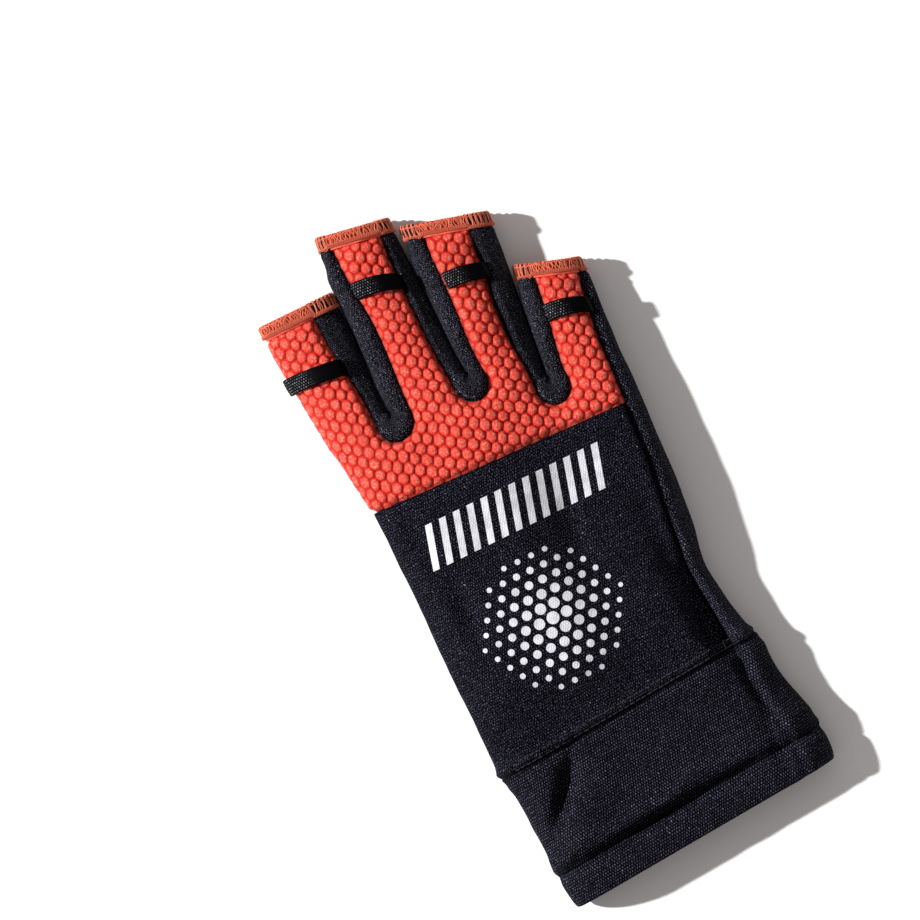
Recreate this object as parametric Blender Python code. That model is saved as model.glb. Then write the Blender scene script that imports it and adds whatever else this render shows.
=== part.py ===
"""A right-hand fingerless running glove lying palm down, its thumb stall folded in under the palm.

Metres, +Z up. The fingers point to +Y and the thumb side is -X. A level is a station along the
glove: 0 at the mouth of the cuff, 1 at the wrist seam, 2 at the honeycomb panel's lower edge and
3 at the tip of the middle stall.
"""

import math

import bpy
import numpy as np
from mathutils import Matrix, Vector
from mathutils.geometry import delaunay_2d_cdt

MM = 0.001

# Lengths along the glove
CUFF_LENGTH = 48 * MM
BACK_LENGTH = 93 * MM
FINGER_REACH = 92 * MM
HEM_DEPTH = 11 * MM
BINDING_DEPTH = 4.4 * MM

# Widths across it
PALM_WIDTH = 97 * MM
FOURCHETTE_WIDTH = 6 * MM
CROTCH_DEPTH = 9.6 * MM
CROTCH_GAP = 0.45 * MM
TIP_GAP = 0.95 * MM
SIDE_SEAM_INSET = 6.5 * MM
RADIAL_SEAM_INSET = 4 * MM
UNDER_SEAM_INSET = 4.5 * MM

# Heights, from the floor that the glove lies on
CUFF_THICKNESS = 15 * MM
HAND_THICKNESS = 17 * MM
FINGER_THICKNESS = 15 * MM
EDGE_SHARE = 0.44
SAG_OVER_THUMB = 0.16

# How far in from its silhouette the glove's roundness reaches, above and below
CUFF_RIM = 15 * MM
HAND_RIM = 17 * MM
FINGER_RIM = 11.5 * MM
LOWER_RIM = 8 * MM
ROUNDNESS = 2.2

# Cloth
KNIT_WALL = 1.6 * MM
HONEYCOMB_WALL = 2.1 * MM
HEM_WALL = 2.8 * MM
BINDING_PROUD = 0.4 * MM
HEM_PROUD = 0.6 * MM
ROLL_RISE = 0.7 * MM
SEAM_GAP = 0.3 * MM

# Elastic finger loops
LOOP_WIDTH = 6 * MM
LOOP_THICKNESS = 1.2 * MM
LOOP_ARCH = 0.9 * MM
LOOP_UNDER_REACH = 2.2 * MM

# Thumb stall, flat under the palm
THUMB_WIDTH = 28 * MM
THUMB_HEIGHT = 8.4 * MM
THUMB_WALL = 1.3 * MM
THUMB_BASE_LENGTH = 35 * MM
THUMB_FREE_LENGTH = 40 * MM
THUMB_RIM = 5 * MM

# Slants, as a rise in Y for each unit of X
CUFF_SLANT = 0.073
KNUCKLE_SLANT = -0.035

# Spacing of the mesh
SHEET_SPACING = 6.6 * MM
TIP_SPACING_SHARE = 0.6
SLOT_SIDE_STEPS = 7
SLOT_END_STEPS = 8
RIM_ROWS = (-1.5, -0.9, -0.4, 0.0, 0.45, 1.0, 1.7)

# Edges of the hand: level, thumb side and little-finger side as shares of PALM_WIDTH
EDGES = [
    # level, thumb, little
    (-0.20, -0.510, 0.504),
    (0.00, -0.515, 0.508),
    (0.21, -0.526, 0.515),
    (0.42, -0.528, 0.509),
    (0.63, -0.531, 0.483),
    (0.83, -0.539, 0.466),
    (1.00, -0.554, 0.459),
    (1.10, -0.552, 0.436),
    (1.22, -0.550, 0.413),
    (1.34, -0.551, 0.405),
    (1.47, -0.549, 0.422),
    (1.60, -0.546, 0.439),
    (1.77, -0.546, 0.448),
    (2.00, -0.546, 0.456),
    (2.26, -0.577, 0.468),
    (2.53, -0.604, 0.478),
    (2.81, -0.624, 0.482),
    (3.00, -0.632, 0.484),
]

# Seam where the palm cloth comes over the little-finger side: level, share of SIDE_SEAM_INSET
SIDE_SEAM = [
    # level, inset
    (-0.20, 1.60),
    (0.40, 1.70),
    (1.00, 1.35),
    (1.30, 0.98),
    (1.60, 1.05),
    (1.80, 0.85),
    (2.00, 0.78),
    (2.26, 0.64),
    (2.40, 0.36),
    (2.60, 0.32),
    (3.00, 0.32),
]

# Slots between the stalls. Each row: level, centre line as a share of PALM_WIDTH, and the width of
# the fourchette on the slot's thumb side and little-finger side as shares of FOURCHETTE_WIDTH
SLOTS = {
    "index_middle": [
        # level, centre, thumb side, little side
        (2.326, -0.345, 0.84, 1.00),
        (2.43, -0.347, 0.84, 1.13),
        (2.53, -0.341, 1.12, 1.12),
        (2.64, -0.336, 1.38, 1.05),
        (2.77, -0.334, 1.50, 0.83),
        (3.00, -0.325, 1.50, 0.45),
    ],
    "middle_ring": [
        # level, centre, thumb side, little side
        (2.337, -0.047, 0.80, 0.78),
        (2.43, -0.051, 0.80, 0.87),
        (2.53, -0.051, 0.84, 0.95),
        (2.64, -0.050, 0.82, 1.00),
        (2.80, -0.049, 0.74, 0.97),
        (3.00, -0.046, 0.74, 0.88),
    ],
    "ring_pinky": [
        # level, centre, thumb side, little side
        (2.196, 0.199, 0.74, 0.80),
        (2.32, 0.213, 0.95, 0.90),
        (2.43, 0.225, 1.06, 0.97),
        (2.53, 0.238, 1.20, 0.90),
        (2.64, 0.251, 1.06, 0.66),
        (2.80, 0.269, 1.32, 0.60),
        (3.00, 0.280, 1.32, 0.60),
    ],
}

# Open ends of the stalls: levels at the thumb side and the little-finger side of each
TIPS = {
    # stall: thumb side, little side
    "index": (2.80, 2.80),
    "middle": (3.00, 2.955),
    "ring": (2.905, 2.82),
    "pinky": (2.60, 2.525),
}

# Finger loops: levels of the middle of the band at its two ends, and its bow towards the tip as a
# share of LOOP_WIDTH
LOOPS = {
    # stall: thumb end, little end, bow
    "index": (2.566, 2.543, 0.05),
    "middle": (2.772, 2.722, 0.14),
    "ring": (2.662, 2.626, 0.10),
    "pinky": (2.398, 2.345, 0.16),
}

# Dents (negative) and swells (positive) of the top cloth. Each row: level, place across as a share
# of PALM_WIDTH, half length and half width as shares of PALM_WIDTH, lean from Y in degrees, and
# depth as a share of HAND_THICKNESS
FOLDS = [
    # level, across, length, width, lean, depth
    (1.27, 0.315, 0.30, 0.045, 2, -0.20),
    (1.70, 0.375, 0.28, 0.035, -5, 0.08),
    (1.42, 0.190, 0.30, 0.120, -6, 0.10),
    (0.66, -0.395, 0.11, 0.040, -36, -0.17),
    (0.55, -0.300, 0.12, 0.070, -36, 0.06),
    (1.84, -0.445, 0.17, 0.035, 2, -0.10),
    (1.70, 0.000, 0.14, 0.060, 0, -0.07),
    (0.42, 0.360, 0.17, 0.030, -4, -0.10),
    (2.20, -0.210, 0.12, 0.050, -58, -0.06),
]

# Where the stack of thumb stall and palm lifts the hand: levels and shares of PALM_WIDTH
LIFT_START = (0.90, 1.26)
LIFT_END = (2.10, 2.66)
LIFT_SIDE = (-0.160, 0.200)
THUMB_AXIS = -0.322
THUMB_LEVEL = 1.29

CORAL = (0.83, 0.065, 0.03)
BLACK = (0.012, 0.013, 0.018)
THREAD = (0.80, 0.15, 0.06)
ELASTIC = (0.006, 0.006, 0.008)

STALLS = list(TIPS)
SLOT_NAMES = list(SLOTS)
LEVELS = np.array([-1.0, 0.0, 1.0, 2.0, 3.0, 4.0])
LEVEL_YS = np.array([-CUFF_LENGTH, 0, CUFF_LENGTH, CUFF_LENGTH + BACK_LENGTH,
                     CUFF_LENGTH + BACK_LENGTH + FINGER_REACH,
                     CUFF_LENGTH + BACK_LENGTH + 2 * FINGER_REACH])
TOP, UNDER = 1.0, -1.0
PARAMETER_STEP = 1e-5


# Reading the tables

def y_of(level):
    return np.interp(level, LEVELS, LEVEL_YS)


def level_of(y):
    return np.interp(y, LEVEL_YS, LEVELS)


def column(rows, index, level):
    """A table's column at any level, on a smooth cubic through its rows."""
    knots = np.array([row[0] for row in rows])
    values = np.array([row[index] for row in rows])
    slopes = np.gradient(values, knots)
    at = np.clip(level, knots[0], knots[-1])
    i = np.clip(np.searchsorted(knots, at, side="right") - 1, 0, len(knots) - 2)
    width = knots[i + 1] - knots[i]
    t = (at - knots[i]) / width
    return ((2 * t**3 - 3 * t**2 + 1) * values[i] + (t**3 - 2 * t**2 + t) * width * slopes[i]
            + (3 * t**2 - 2 * t**3) * values[i + 1] + (t**3 - t**2) * width * slopes[i + 1])


def smooth_step(value, low, high):
    t = np.clip((value - low) / (high - low), 0, 1)
    return t * t * (3 - 2 * t)


def by_zone(y, cuff, hand, finger):
    """A size that changes along the glove from its cuff value to its hand and finger values."""
    level = level_of(y)
    in_hand = smooth_step(level, 0.6, 1.4)
    in_finger = smooth_step(level, 2.0, 2.5)
    return cuff + (hand - cuff) * in_hand + (finger - hand) * in_finger


# Outlines seen from above

def thumb_side_x(y):
    return column(EDGES, 1, level_of(y)) * PALM_WIDTH


def little_side_x(y):
    return column(EDGES, 2, level_of(y)) * PALM_WIDTH


def side_seam_inset(y):
    return column(SIDE_SEAM, 1, level_of(y)) * SIDE_SEAM_INSET


def slot_end_y(slot):
    return float(y_of(SLOTS[slot][0][0]))


def slot_x(slot, y):
    return column(SLOTS[slot], 1, level_of(y)) * PALM_WIDTH


def slot_gap(slot, y):
    """Half the width of the open slot."""
    return CROTCH_GAP + (TIP_GAP - CROTCH_GAP) * smooth_step(y, slot_end_y(slot), y_of(2.9))


def seam_width(slot, y, little_side):
    """How wide the fourchette shows from above beside the slot."""
    return column(SLOTS[slot], 3 if little_side else 2, level_of(y)) * FOURCHETTE_WIDTH


def distances(x, y):
    """Distance inwards from each edge of the silhouette: both sides of the hand and each slot."""
    found = [x - thumb_side_x(y), little_side_x(y) - x]
    for slot in SLOT_NAMES:
        end_y = slot_end_y(slot)
        below = np.minimum(y - end_y, 0)
        found.append(np.hypot(x - slot_x(slot, y), below) - slot_gap(slot, y))
    return found


# The glove's outer skin

def rim_width(y):
    return by_zone(y, CUFF_RIM, HAND_RIM, FINGER_RIM)


def oval_height(distance, width):
    """Height of a quarter oval, 0 at its edge and 1 where the distance reaches its width."""
    t = np.clip(distance / width, 0, 1)
    return (1 - (1 - t) ** ROUNDNESS) ** (1 / ROUNDNESS)


def oval_inset(angle, width):
    """Distance in from the edge at an angle round a quarter oval."""
    return width * (1 - np.cos(angle) ** (2 / ROUNDNESS))


def oval_angle(inset, width):
    """Angle round a quarter oval at a distance in from its edge."""
    return np.arccos(np.clip(1 - inset / width, 0, 1) ** (ROUNDNESS / 2))


def plateau(distance_list, width):
    height = 1.0
    for distance in distance_list:
        height = height * oval_height(distance, width)
    return height


def lift(x, y):
    """How far the thumb stall below raises the palm."""
    level = level_of(y)
    along = smooth_step(level, *LIFT_START) * (1 - smooth_step(level, *LIFT_END))
    across = 1 - smooth_step(x / PALM_WIDTH, *LIFT_SIDE)
    return (THUMB_HEIGHT + SEAM_GAP) * along * across


def thickness(x, y):
    full = by_zone(y, CUFF_THICKNESS, HAND_THICKNESS, FINGER_THICKNESS)
    return full * (1 - SAG_OVER_THUMB * lift(x, y) / (THUMB_HEIGHT + SEAM_GAP))


def folds(x, y):
    """Height that the dents and swells add to the top cloth."""
    height = 0.0
    for level, across, length, width, lean, depth in FOLDS:
        dx, dy = x - across * PALM_WIDTH, y - y_of(level)
        turn = math.radians(lean)
        along = dx * -math.sin(turn) + dy * math.cos(turn)
        aside = dx * math.cos(turn) + dy * math.sin(turn)
        shape = (along / (length * PALM_WIDTH)) ** 2 + (aside / (width * PALM_WIDTH)) ** 2
        height = height + depth * HAND_THICKNESS * np.exp(-shape)
    return height


def skin(x, y, side):
    """Height of the outer skin, on its top side or underside."""
    edge_list = distances(x, y)
    upper = plateau(edge_list, rim_width(y))
    lower = plateau(edge_list, LOWER_RIM)
    raised, thick = lift(x, y), thickness(x, y)
    middle = raised + EDGE_SHARE * thick
    top = middle + (1 - EDGE_SHARE) * thick * upper + folds(x, y) * upper**2
    return np.where(side > 0, top, middle - EDGE_SHARE * thick * lower)


# Flat patterns: distance along the cloth where it turns round a rim

def arc_lengths(aspect):
    """Angles round a quarter oval of width 1, and the length of cloth from its edge to each."""
    angles = np.linspace(0, math.pi / 2, 60)
    inset = oval_inset(angles, 1.0)
    height = aspect * np.sin(angles) ** (2 / ROUNDNESS)
    steps = np.hypot(np.diff(inset), np.diff(height))
    return angles, np.concatenate([[0], np.cumsum(steps)])


UPPER_ANGLES, UPPER_ARCS = arc_lengths(0.55)
LOWER_ANGLES, LOWER_ARCS = arc_lengths(0.85)


def wrapped(distance, near_width, near, far):
    """Inset from the silhouette, and whether it is on the far side, of a point on cloth that runs
    in from its near side, turns at the silhouette and goes back on its far side. The distance is
    measured from the silhouette along the cloth, positive on the near side."""
    near_angles, near_arcs = near
    far_width, far_angles, far_arcs = far
    angle = np.interp(distance / near_width, near_arcs, near_angles)
    beyond = np.maximum(distance - near_width * near_arcs[-1], 0)
    near_inset = oval_inset(angle, near_width) + beyond
    far_inset = oval_inset(np.interp(-distance / far_width, far_arcs, far_angles), far_width)
    return np.where(distance >= 0, near_inset, far_inset), distance < 0


def top_pattern_edge(y):
    """Pattern X of the thumb-side silhouette on the top cloth."""
    return thumb_side_x(y) + rim_width(y) * (1 - UPPER_ARCS[-1])


def top_cloth(parameters):
    """Top cloth from its flat pattern (X, Y). It goes over the thumb side to the seam below."""
    pattern_x, y = parameters[:, 0], parameters[:, 1]
    distance = pattern_x - top_pattern_edge(y)
    inset, under = wrapped(distance, rim_width(y), (UPPER_ANGLES, UPPER_ARCS),
                           (LOWER_RIM, LOWER_ANGLES, LOWER_ARCS))
    x = thumb_side_x(y) + inset
    return np.stack([x, y, skin(x, y, np.where(under, UNDER, TOP))], axis=1)


def under_pattern_edge(y):
    """Pattern X of the little-finger-side silhouette on the palm cloth."""
    return little_side_x(y) - LOWER_RIM * (1 - LOWER_ARCS[-1])


def under_cloth(parameters):
    """Palm cloth from its flat pattern (X, Y). It comes up over the little-finger side."""
    pattern_x, y = parameters[:, 0], parameters[:, 1]
    distance = under_pattern_edge(y) - pattern_x
    inset, over = wrapped(distance, LOWER_RIM, (LOWER_ANGLES, LOWER_ARCS),
                          (rim_width(y), UPPER_ANGLES, UPPER_ARCS))
    x = little_side_x(y) - inset
    return np.stack([x, y, skin(x, y, np.where(over, TOP, UNDER))], axis=1)


# Seam lines

def mouth_line(x):
    return CUFF_SLANT * x


def wrist_line(x):
    return CUFF_LENGTH + CUFF_SLANT * x


def knuckle_line(x):
    return CUFF_LENGTH + BACK_LENGTH + KNUCKLE_SLANT * x


def stall_edges(stall, y):
    """X of the silhouette on the two sides of a stall."""
    i = STALLS.index(stall)
    left = thumb_side_x(y)
    right = little_side_x(y)
    if i > 0:
        left = slot_x(SLOT_NAMES[i - 1], y) + slot_gap(SLOT_NAMES[i - 1], y)
    if i < len(STALLS) - 1:
        right = slot_x(SLOT_NAMES[i], y) - slot_gap(SLOT_NAMES[i], y)
    return left, right


def tip_line(stall, x):
    """Y of a stall's open end."""
    thumb_y, little_y = y_of(TIPS[stall][0]), y_of(TIPS[stall][1])
    left, right = stall_edges(stall, thumb_y)[0], stall_edges(stall, little_y)[1]
    share = np.clip((x - left) / (right - left), 0, 1)
    return thumb_y + (little_y - thumb_y) * share


def cloth_end(stall, x):
    """Y where the stall's cloth meets its edge binding."""
    return tip_line(stall, x) - BINDING_DEPTH - SEAM_GAP


def radial_seam_x(y):
    """Pattern X, on the top cloth, of the seam under the thumb side."""
    angle = oval_angle(RADIAL_SEAM_INSET - SEAM_GAP / 2, LOWER_RIM)
    return top_pattern_edge(y) - LOWER_RIM * np.interp(angle, LOWER_ANGLES, LOWER_ARCS)


def radial_seam_plan_x(y):
    """X of the same seam in plan."""
    return thumb_side_x(y) + RADIAL_SEAM_INSET - SEAM_GAP / 2


def top_seam_x(y):
    """X of the top cloth's edge along the little-finger side."""
    return little_side_x(y) - side_seam_inset(y) - SEAM_GAP / 2


def under_seam_plan_x(y):
    """X in plan of the palm cloth's edge along the same side."""
    return little_side_x(y) - side_seam_inset(y) + SEAM_GAP / 2


def side_seam_pattern_x(y):
    """Pattern X, on the palm cloth, of the seam over the little-finger side."""
    angle = oval_angle(side_seam_inset(y) - SEAM_GAP / 2, rim_width(y))
    return under_pattern_edge(y) + rim_width(y) * np.interp(angle, UPPER_ANGLES, UPPER_ARCS)


def slot_stations():
    """Stations down a slot's thumb side, round its closed end and up its little-finger side."""
    return np.concatenate([np.linspace(0, 1, SLOT_SIDE_STEPS + 1),
                           np.linspace(1, 2, SLOT_END_STEPS + 1)[1:],
                           np.linspace(2, 3, SLOT_SIDE_STEPS + 1)[1:]])


def slot_path(slot, stalls, stations, inset):
    """Points at a distance in from a slot's silhouette at stations 0 to 1 down its thumb side, 1
    to 2 round its closed end and 2 to 3 up its little-finger side. The ends follow the stalls'
    slanting ends."""
    end_y = slot_end_y(slot)
    turn = math.pi * (1 + np.clip(stations - 1, 0, 1))
    direction = np.stack([np.cos(turn), np.sin(turn)], 1)
    x = slot_x(slot, end_y) + direction[:, 0] * inset
    for _ in range(6):
        first, last = (cloth_end(stall, x) for stall in stalls)
        y = np.where(stations < 1, first + (end_y - first) * stations,
                     np.where(stations > 2, end_y + (last - end_y) * (stations - 2), end_y))
        x = slot_x(slot, y) + direction[:, 0] * (slot_gap(slot, y) + inset)
    return np.stack([x, y + direction[:, 1] * (slot_gap(slot, y) + inset)], 1), direction, y


def slot_seam_inset(slot, stalls, stations, top_side):
    """How far in from the slot's silhouette the fourchette's seam runs."""
    if not top_side:
        return np.full_like(stations, UNDER_SEAM_INSET)
    _, direction, y = slot_path(slot, stalls, stations, FOURCHETTE_WIDTH)
    thumb_width, little_width = (seam_width(slot, y, little) for little in (False, True))
    width = np.where(stations < 1.5, thumb_width, little_width)
    return width + (CROTCH_DEPTH - width) * direction[:, 1] ** 2


def notch(slot, stalls, top_side):
    """Outline of the notch that a cloth has for a fourchette, from the thumb side round."""
    stations = slot_stations()
    inset = slot_seam_inset(slot, stalls, stations, top_side) + SEAM_GAP / 2
    return slot_path(slot, stalls, stations, inset)[0]


def across_line(line, start_x, end_x, spacing, cloth=None):
    """Points from start_x to end_x along a line, without its two ends. The line is in plan, so on
    a cloth's flat pattern each point moves to where the cloth crosses it."""
    x = np.linspace(start_x, end_x, max(2, round(abs(end_x - start_x) / spacing)) + 1)[1:-1]
    y = line(x)
    if cloth is not None:
        for _ in range(6):
            y = line(cloth(np.stack([x, y], 1))[:, 0])
    return np.stack([x, y], 1)


def meeting_y(line, x_of, start_y):
    """Y where a line in plan meets a curve that gives X at each Y."""
    y = float(start_y)
    for _ in range(12):
        y = float(line(x_of(y)))
    return y


def up_line(x_of, start_y, end_y, spacing):
    y = np.linspace(start_y, end_y, max(2, round(abs(end_y - start_y) / spacing)) + 1)
    return np.stack([x_of(y), y], 1)


def fingers_outline(left_line, right_line, top_side, spacing):
    """The open outline of a cloth with four stalls, from its lower left round to lower right."""
    cloth = top_cloth if top_side else under_cloth
    parts = [left_line]
    last = left_line[-1]
    for i, slot in enumerate(SLOT_NAMES):
        cut = notch(slot, STALLS[i:i + 2], top_side)
        parts.append(across_line(lambda x: cloth_end(STALLS[i], x), last[0], cut[0, 0],
                                 spacing * TIP_SPACING_SHARE, cloth))
        parts.append(cut)
        last = cut[-1]
    parts.append(across_line(lambda x: cloth_end(STALLS[-1], x), last[0], right_line[0, 0],
                             spacing * TIP_SPACING_SHARE, cloth))
    parts.append(right_line)
    return np.concatenate(parts)


# Meshing

def inside(points, outline):
    x, y = points[:, :1], points[:, 1:]
    start, end = outline, np.roll(outline, -1, axis=0)
    crosses = (start[:, 1] > y) != (end[:, 1] > y)
    rise = np.where(end[:, 1] == start[:, 1], 1.0, end[:, 1] - start[:, 1])
    at = start[:, 0] + (y - start[:, 1]) * (end[:, 0] - start[:, 0]) / rise
    return (crosses & (x < at)).sum(axis=1) % 2 == 1


def nearest_edge(points, outline):
    start = outline
    run = np.roll(outline, -1, axis=0) - start
    to_point = points[:, None, :] - start[None]
    share = np.clip((to_point * run).sum(2) / (run**2).sum(1), 0, 1)
    return np.sqrt(((to_point - share[..., None] * run) ** 2).sum(2)).min(axis=1)


def rim_rows(pattern_edge, start_y, end_y, spacing):
    """Rows of points along a rim, where the cloth turns round it."""
    return [up_line(lambda y: pattern_edge(y) + row * spacing, start_y, end_y, spacing)
            for row in RIM_ROWS]


def fill(outline, spacing, holes=(), rows_of_points=()):
    """Triangles that fill an outline and leave its holes open, with evenly spread points and with
    given rows of them along rims."""
    low, high = outline.min(axis=0), outline.max(axis=0)
    row_step = spacing * math.sqrt(3) / 2
    rows = int((high[1] - low[1]) / row_step) + 1
    columns = int((high[0] - low[0]) / spacing) + 1
    lattice = np.array([(low[0] + (c + 0.5 * (r % 2)) * spacing, low[1] + (r + 0.5) * row_step)
                        for r in range(rows) for c in range(columns)])
    loops = [outline, *holes]
    keep = inside(lattice, outline)
    for hole in holes:
        keep &= ~inside(lattice, hole)
    lattice = lattice[keep]
    clear = np.min([nearest_edge(lattice, loop) for loop in loops], axis=0)
    lattice = lattice[clear > 0.55 * spacing]
    kept_rows = []
    for row in rows_of_points:
        clear = np.min([nearest_edge(row, loop) for loop in loops], axis=0)
        kept_rows.append(row[inside(row, outline) & (clear > 0.28 * spacing)])
    for row in kept_rows:
        if len(row) and len(lattice):
            apart = np.linalg.norm(lattice[:, None] - row[None], axis=2).min(axis=1)
            lattice = lattice[apart > 0.62 * spacing]
    edges, first = [], 0
    for loop in loops:
        count = len(loop)
        edges += [(first + i, first + (i + 1) % count) for i in range(count)]
        first += count
    points = [Vector(p) for p in np.concatenate([*loops, *kept_rows, lattice])]
    found, _, faces, *_ = delaunay_2d_cdt(points, edges, [], 0, 1e-8)
    found = np.array([tuple(p) for p in found])
    faces = np.array([f for f in faces if len(f) == 3])
    centres = found[faces].mean(axis=1)
    keep = inside(centres, outline)
    for hole in holes:
        keep &= ~inside(centres, hole)
    return found, faces[keep].tolist()


def grid(rows, columns, closed=False):
    """Quads between rows of points; a closed grid joins its last column to its first."""
    faces = []
    for r in range(rows - 1):
        for c in range(columns if closed else columns - 1):
            d = (c + 1) % columns
            faces.append((r * columns + c, r * columns + d,
                          (r + 1) * columns + d, (r + 1) * columns + c))
    return faces


def welded(points, normals, faces):
    """The same surface with points that coincide made one."""
    _, first, index = np.unique(np.round(points / 1e-7).astype(np.int64), axis=0,
                                return_index=True, return_inverse=True)
    index = index.reshape(-1)
    kept = []
    for face in faces:
        corners = list(dict.fromkeys(int(index[i]) for i in face))
        if len(corners) > 2:
            kept.append(corners)
    return points[first], normals[first], kept


def face_normals(points, faces):
    sums = np.zeros((len(faces), 3))
    for i, face in enumerate(faces):
        corners = points[list(face)]
        for a, b in zip(corners[1:-1], corners[2:]):
            sums[i] += np.cross(a - corners[0], b - corners[0])
    return sums


def boundary(faces):
    """Edges with a face on one side only, in that face's direction."""
    seen = {}
    for face in faces:
        for a, b in zip(face, [*face[1:], face[0]]):
            seen[(a, b)] = True
    return [(a, b) for a, b in seen if (b, a) not in seen]


def wall(name, parameters, faces, surface, outward, thick, material, proud=0.0, bulge=None):
    """A cloth wall: the surface over a mesh of parameters, and its inner face thick below it."""
    outer = surface(parameters)
    steps = np.eye(2) * PARAMETER_STEP
    first, second = (surface(parameters + s) - surface(parameters - s) for s in steps)
    normals = np.cross(first, second)
    length = np.linalg.norm(normals, axis=1, keepdims=True)
    flat = length[:, 0] < 1e-4 * np.median(length)
    normals = np.where(flat[:, None], outward, normals / np.maximum(length, 1e-30))
    normals *= np.sign((normals * outward).sum(axis=1).sum())
    outer = outer + normals * proud
    if bulge is not None:
        outer = outer + normals * bulge[:, None]
    outer, normals, faces = welded(outer, normals, faces)
    if (face_normals(outer, faces) * normals[[f[0] for f in faces]]).sum() < 0:
        faces = [list(reversed(f)) for f in faces]
    inner = outer - normals * thick
    outer[:, 2] = np.maximum(outer[:, 2], 0)
    inner[:, 2] = np.maximum(inner[:, 2], 0)
    count = len(outer)
    solid = list(faces)
    solid += [[i + count for i in reversed(f)] for f in faces]
    solid += [[b, a, a + count, b + count] for a, b in boundary(faces)]
    mesh = bpy.data.meshes.new(name)
    mesh.from_pydata(np.concatenate([outer, inner]).tolist(), [], solid)
    mesh.update()
    mesh.shade_smooth()
    mesh.set_sharp_from_angle(angle=math.radians(50))
    mesh.materials.append(material)
    obj = bpy.data.objects.new(name, mesh)
    bpy.context.scene.collection.objects.link(obj)
    return obj


def cloth_material(name, colour, roughness):
    material = bpy.data.materials.new(name)
    material.use_nodes = True
    shader = material.node_tree.nodes["Principled BSDF"]
    shader.inputs["Base Color"].default_value = (*colour, 1)
    shader.inputs["Roughness"].default_value = roughness
    shader.inputs["Metallic"].default_value = 0
    return material


# The pieces

def knuckle_panel(material):
    """Honeycomb cloth over the knuckles and the tops of the four stalls."""
    def low(x):
        return knuckle_line(x) + SEAM_GAP / 2

    left = up_line(radial_seam_x, meeting_y(low, radial_seam_plan_x, y_of(2.0)),
                   float(cloth_end("index", thumb_side_x(y_of(2.8)))), SHEET_SPACING)
    right = up_line(top_seam_x,
                    meeting_y(lambda x: cloth_end("pinky", x), top_seam_x, y_of(2.5)),
                    meeting_y(low, top_seam_x, y_of(2.0)), SHEET_SPACING)
    outline = fingers_outline(left, right, True, SHEET_SPACING)
    below = across_line(low, right[-1, 0], left[0, 0], SHEET_SPACING, top_cloth)
    rows = rim_rows(top_pattern_edge, left[0, 1], left[-1, 1], SHEET_SPACING)
    points, faces = fill(np.concatenate([outline, below]), SHEET_SPACING, (), rows)
    return wall("knuckle_panel", points, faces, top_cloth, np.array([0, 0, 1.0]),
                HONEYCOMB_WALL, material)


def back_panel(material):
    """Black cloth over the back of the hand, from the wrist seam to the honeycomb."""
    def low(x):
        return wrist_line(x) + SEAM_GAP / 2

    def high(x):
        return knuckle_line(x) - SEAM_GAP / 2

    left = up_line(radial_seam_x, meeting_y(low, radial_seam_plan_x, y_of(1.0)),
                   meeting_y(high, radial_seam_plan_x, y_of(2.0)), SHEET_SPACING)
    right = up_line(top_seam_x, meeting_y(high, top_seam_x, y_of(2.0)),
                    meeting_y(low, top_seam_x, y_of(1.0)), SHEET_SPACING)
    top = across_line(high, left[-1, 0], right[0, 0], SHEET_SPACING, top_cloth)
    bottom = across_line(low, right[-1, 0], left[0, 0], SHEET_SPACING, top_cloth)
    rows = rim_rows(top_pattern_edge, left[0, 1], left[-1, 1], SHEET_SPACING)
    points, faces = fill(np.concatenate([left, top, right, bottom]), SHEET_SPACING, (), rows)
    return wall("back_panel", points, faces, top_cloth, np.array([0, 0, 1.0]), KNIT_WALL,
                material)


def thumb_centre(y):
    return THUMB_AXIS * PALM_WIDTH + 0 * y


def thumb_rear_y():
    """Y of the middle of the stall's round base end."""
    return float(y_of(THUMB_LEVEL)) + THUMB_WIDTH / 2


def thumb_hole(spacing):
    """Outline of the hole in the palm that leads into the thumb stall."""
    radius = THUMB_WIDTH / 2 - THUMB_RIM
    rear, front = thumb_rear_y(), float(y_of(THUMB_LEVEL)) + THUMB_BASE_LENGTH
    centre = float(thumb_centre(rear))
    angles = np.linspace(math.pi, 2 * math.pi, 9)
    arc = np.stack([centre + radius * np.cos(angles), rear + radius * np.sin(angles)], 1)
    right = up_line(lambda y: np.full_like(y, centre + radius), rear, front, spacing)[1:]
    left = up_line(lambda y: np.full_like(y, centre - radius), front, rear, spacing)[:-1]
    front_edge = across_line(lambda x: np.full_like(x, front), centre + radius, centre - radius,
                             spacing)
    return np.concatenate([arc, right, front_edge, left])


def palm_panel(material):
    """Black cloth of the palm and the undersides of the stalls, up over the little-finger side."""
    def left_x(y):
        return thumb_side_x(y) + RADIAL_SEAM_INSET + SEAM_GAP / 2

    def low(x):
        return wrist_line(x) + SEAM_GAP / 2

    left = up_line(left_x, meeting_y(low, left_x, y_of(1.0)),
                   float(cloth_end("index", left_x(y_of(2.8)))), SHEET_SPACING)
    right = up_line(side_seam_pattern_x,
                    meeting_y(lambda x: cloth_end("pinky", x), under_seam_plan_x, y_of(2.5)),
                    meeting_y(low, under_seam_plan_x, y_of(1.0)), SHEET_SPACING)
    outline = fingers_outline(left, right, False, SHEET_SPACING)
    bottom = across_line(low, right[-1, 0], left[0, 0], SHEET_SPACING, under_cloth)
    rows = rim_rows(under_pattern_edge, right[-1, 1], right[0, 1], SHEET_SPACING)
    points, faces = fill(np.concatenate([outline, bottom]), SHEET_SPACING,
                         [thumb_hole(SHEET_SPACING)], rows)
    return wall("palm_panel", points, faces, under_cloth, np.array([0, 0, -1.0]), KNIT_WALL,
                material)


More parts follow.
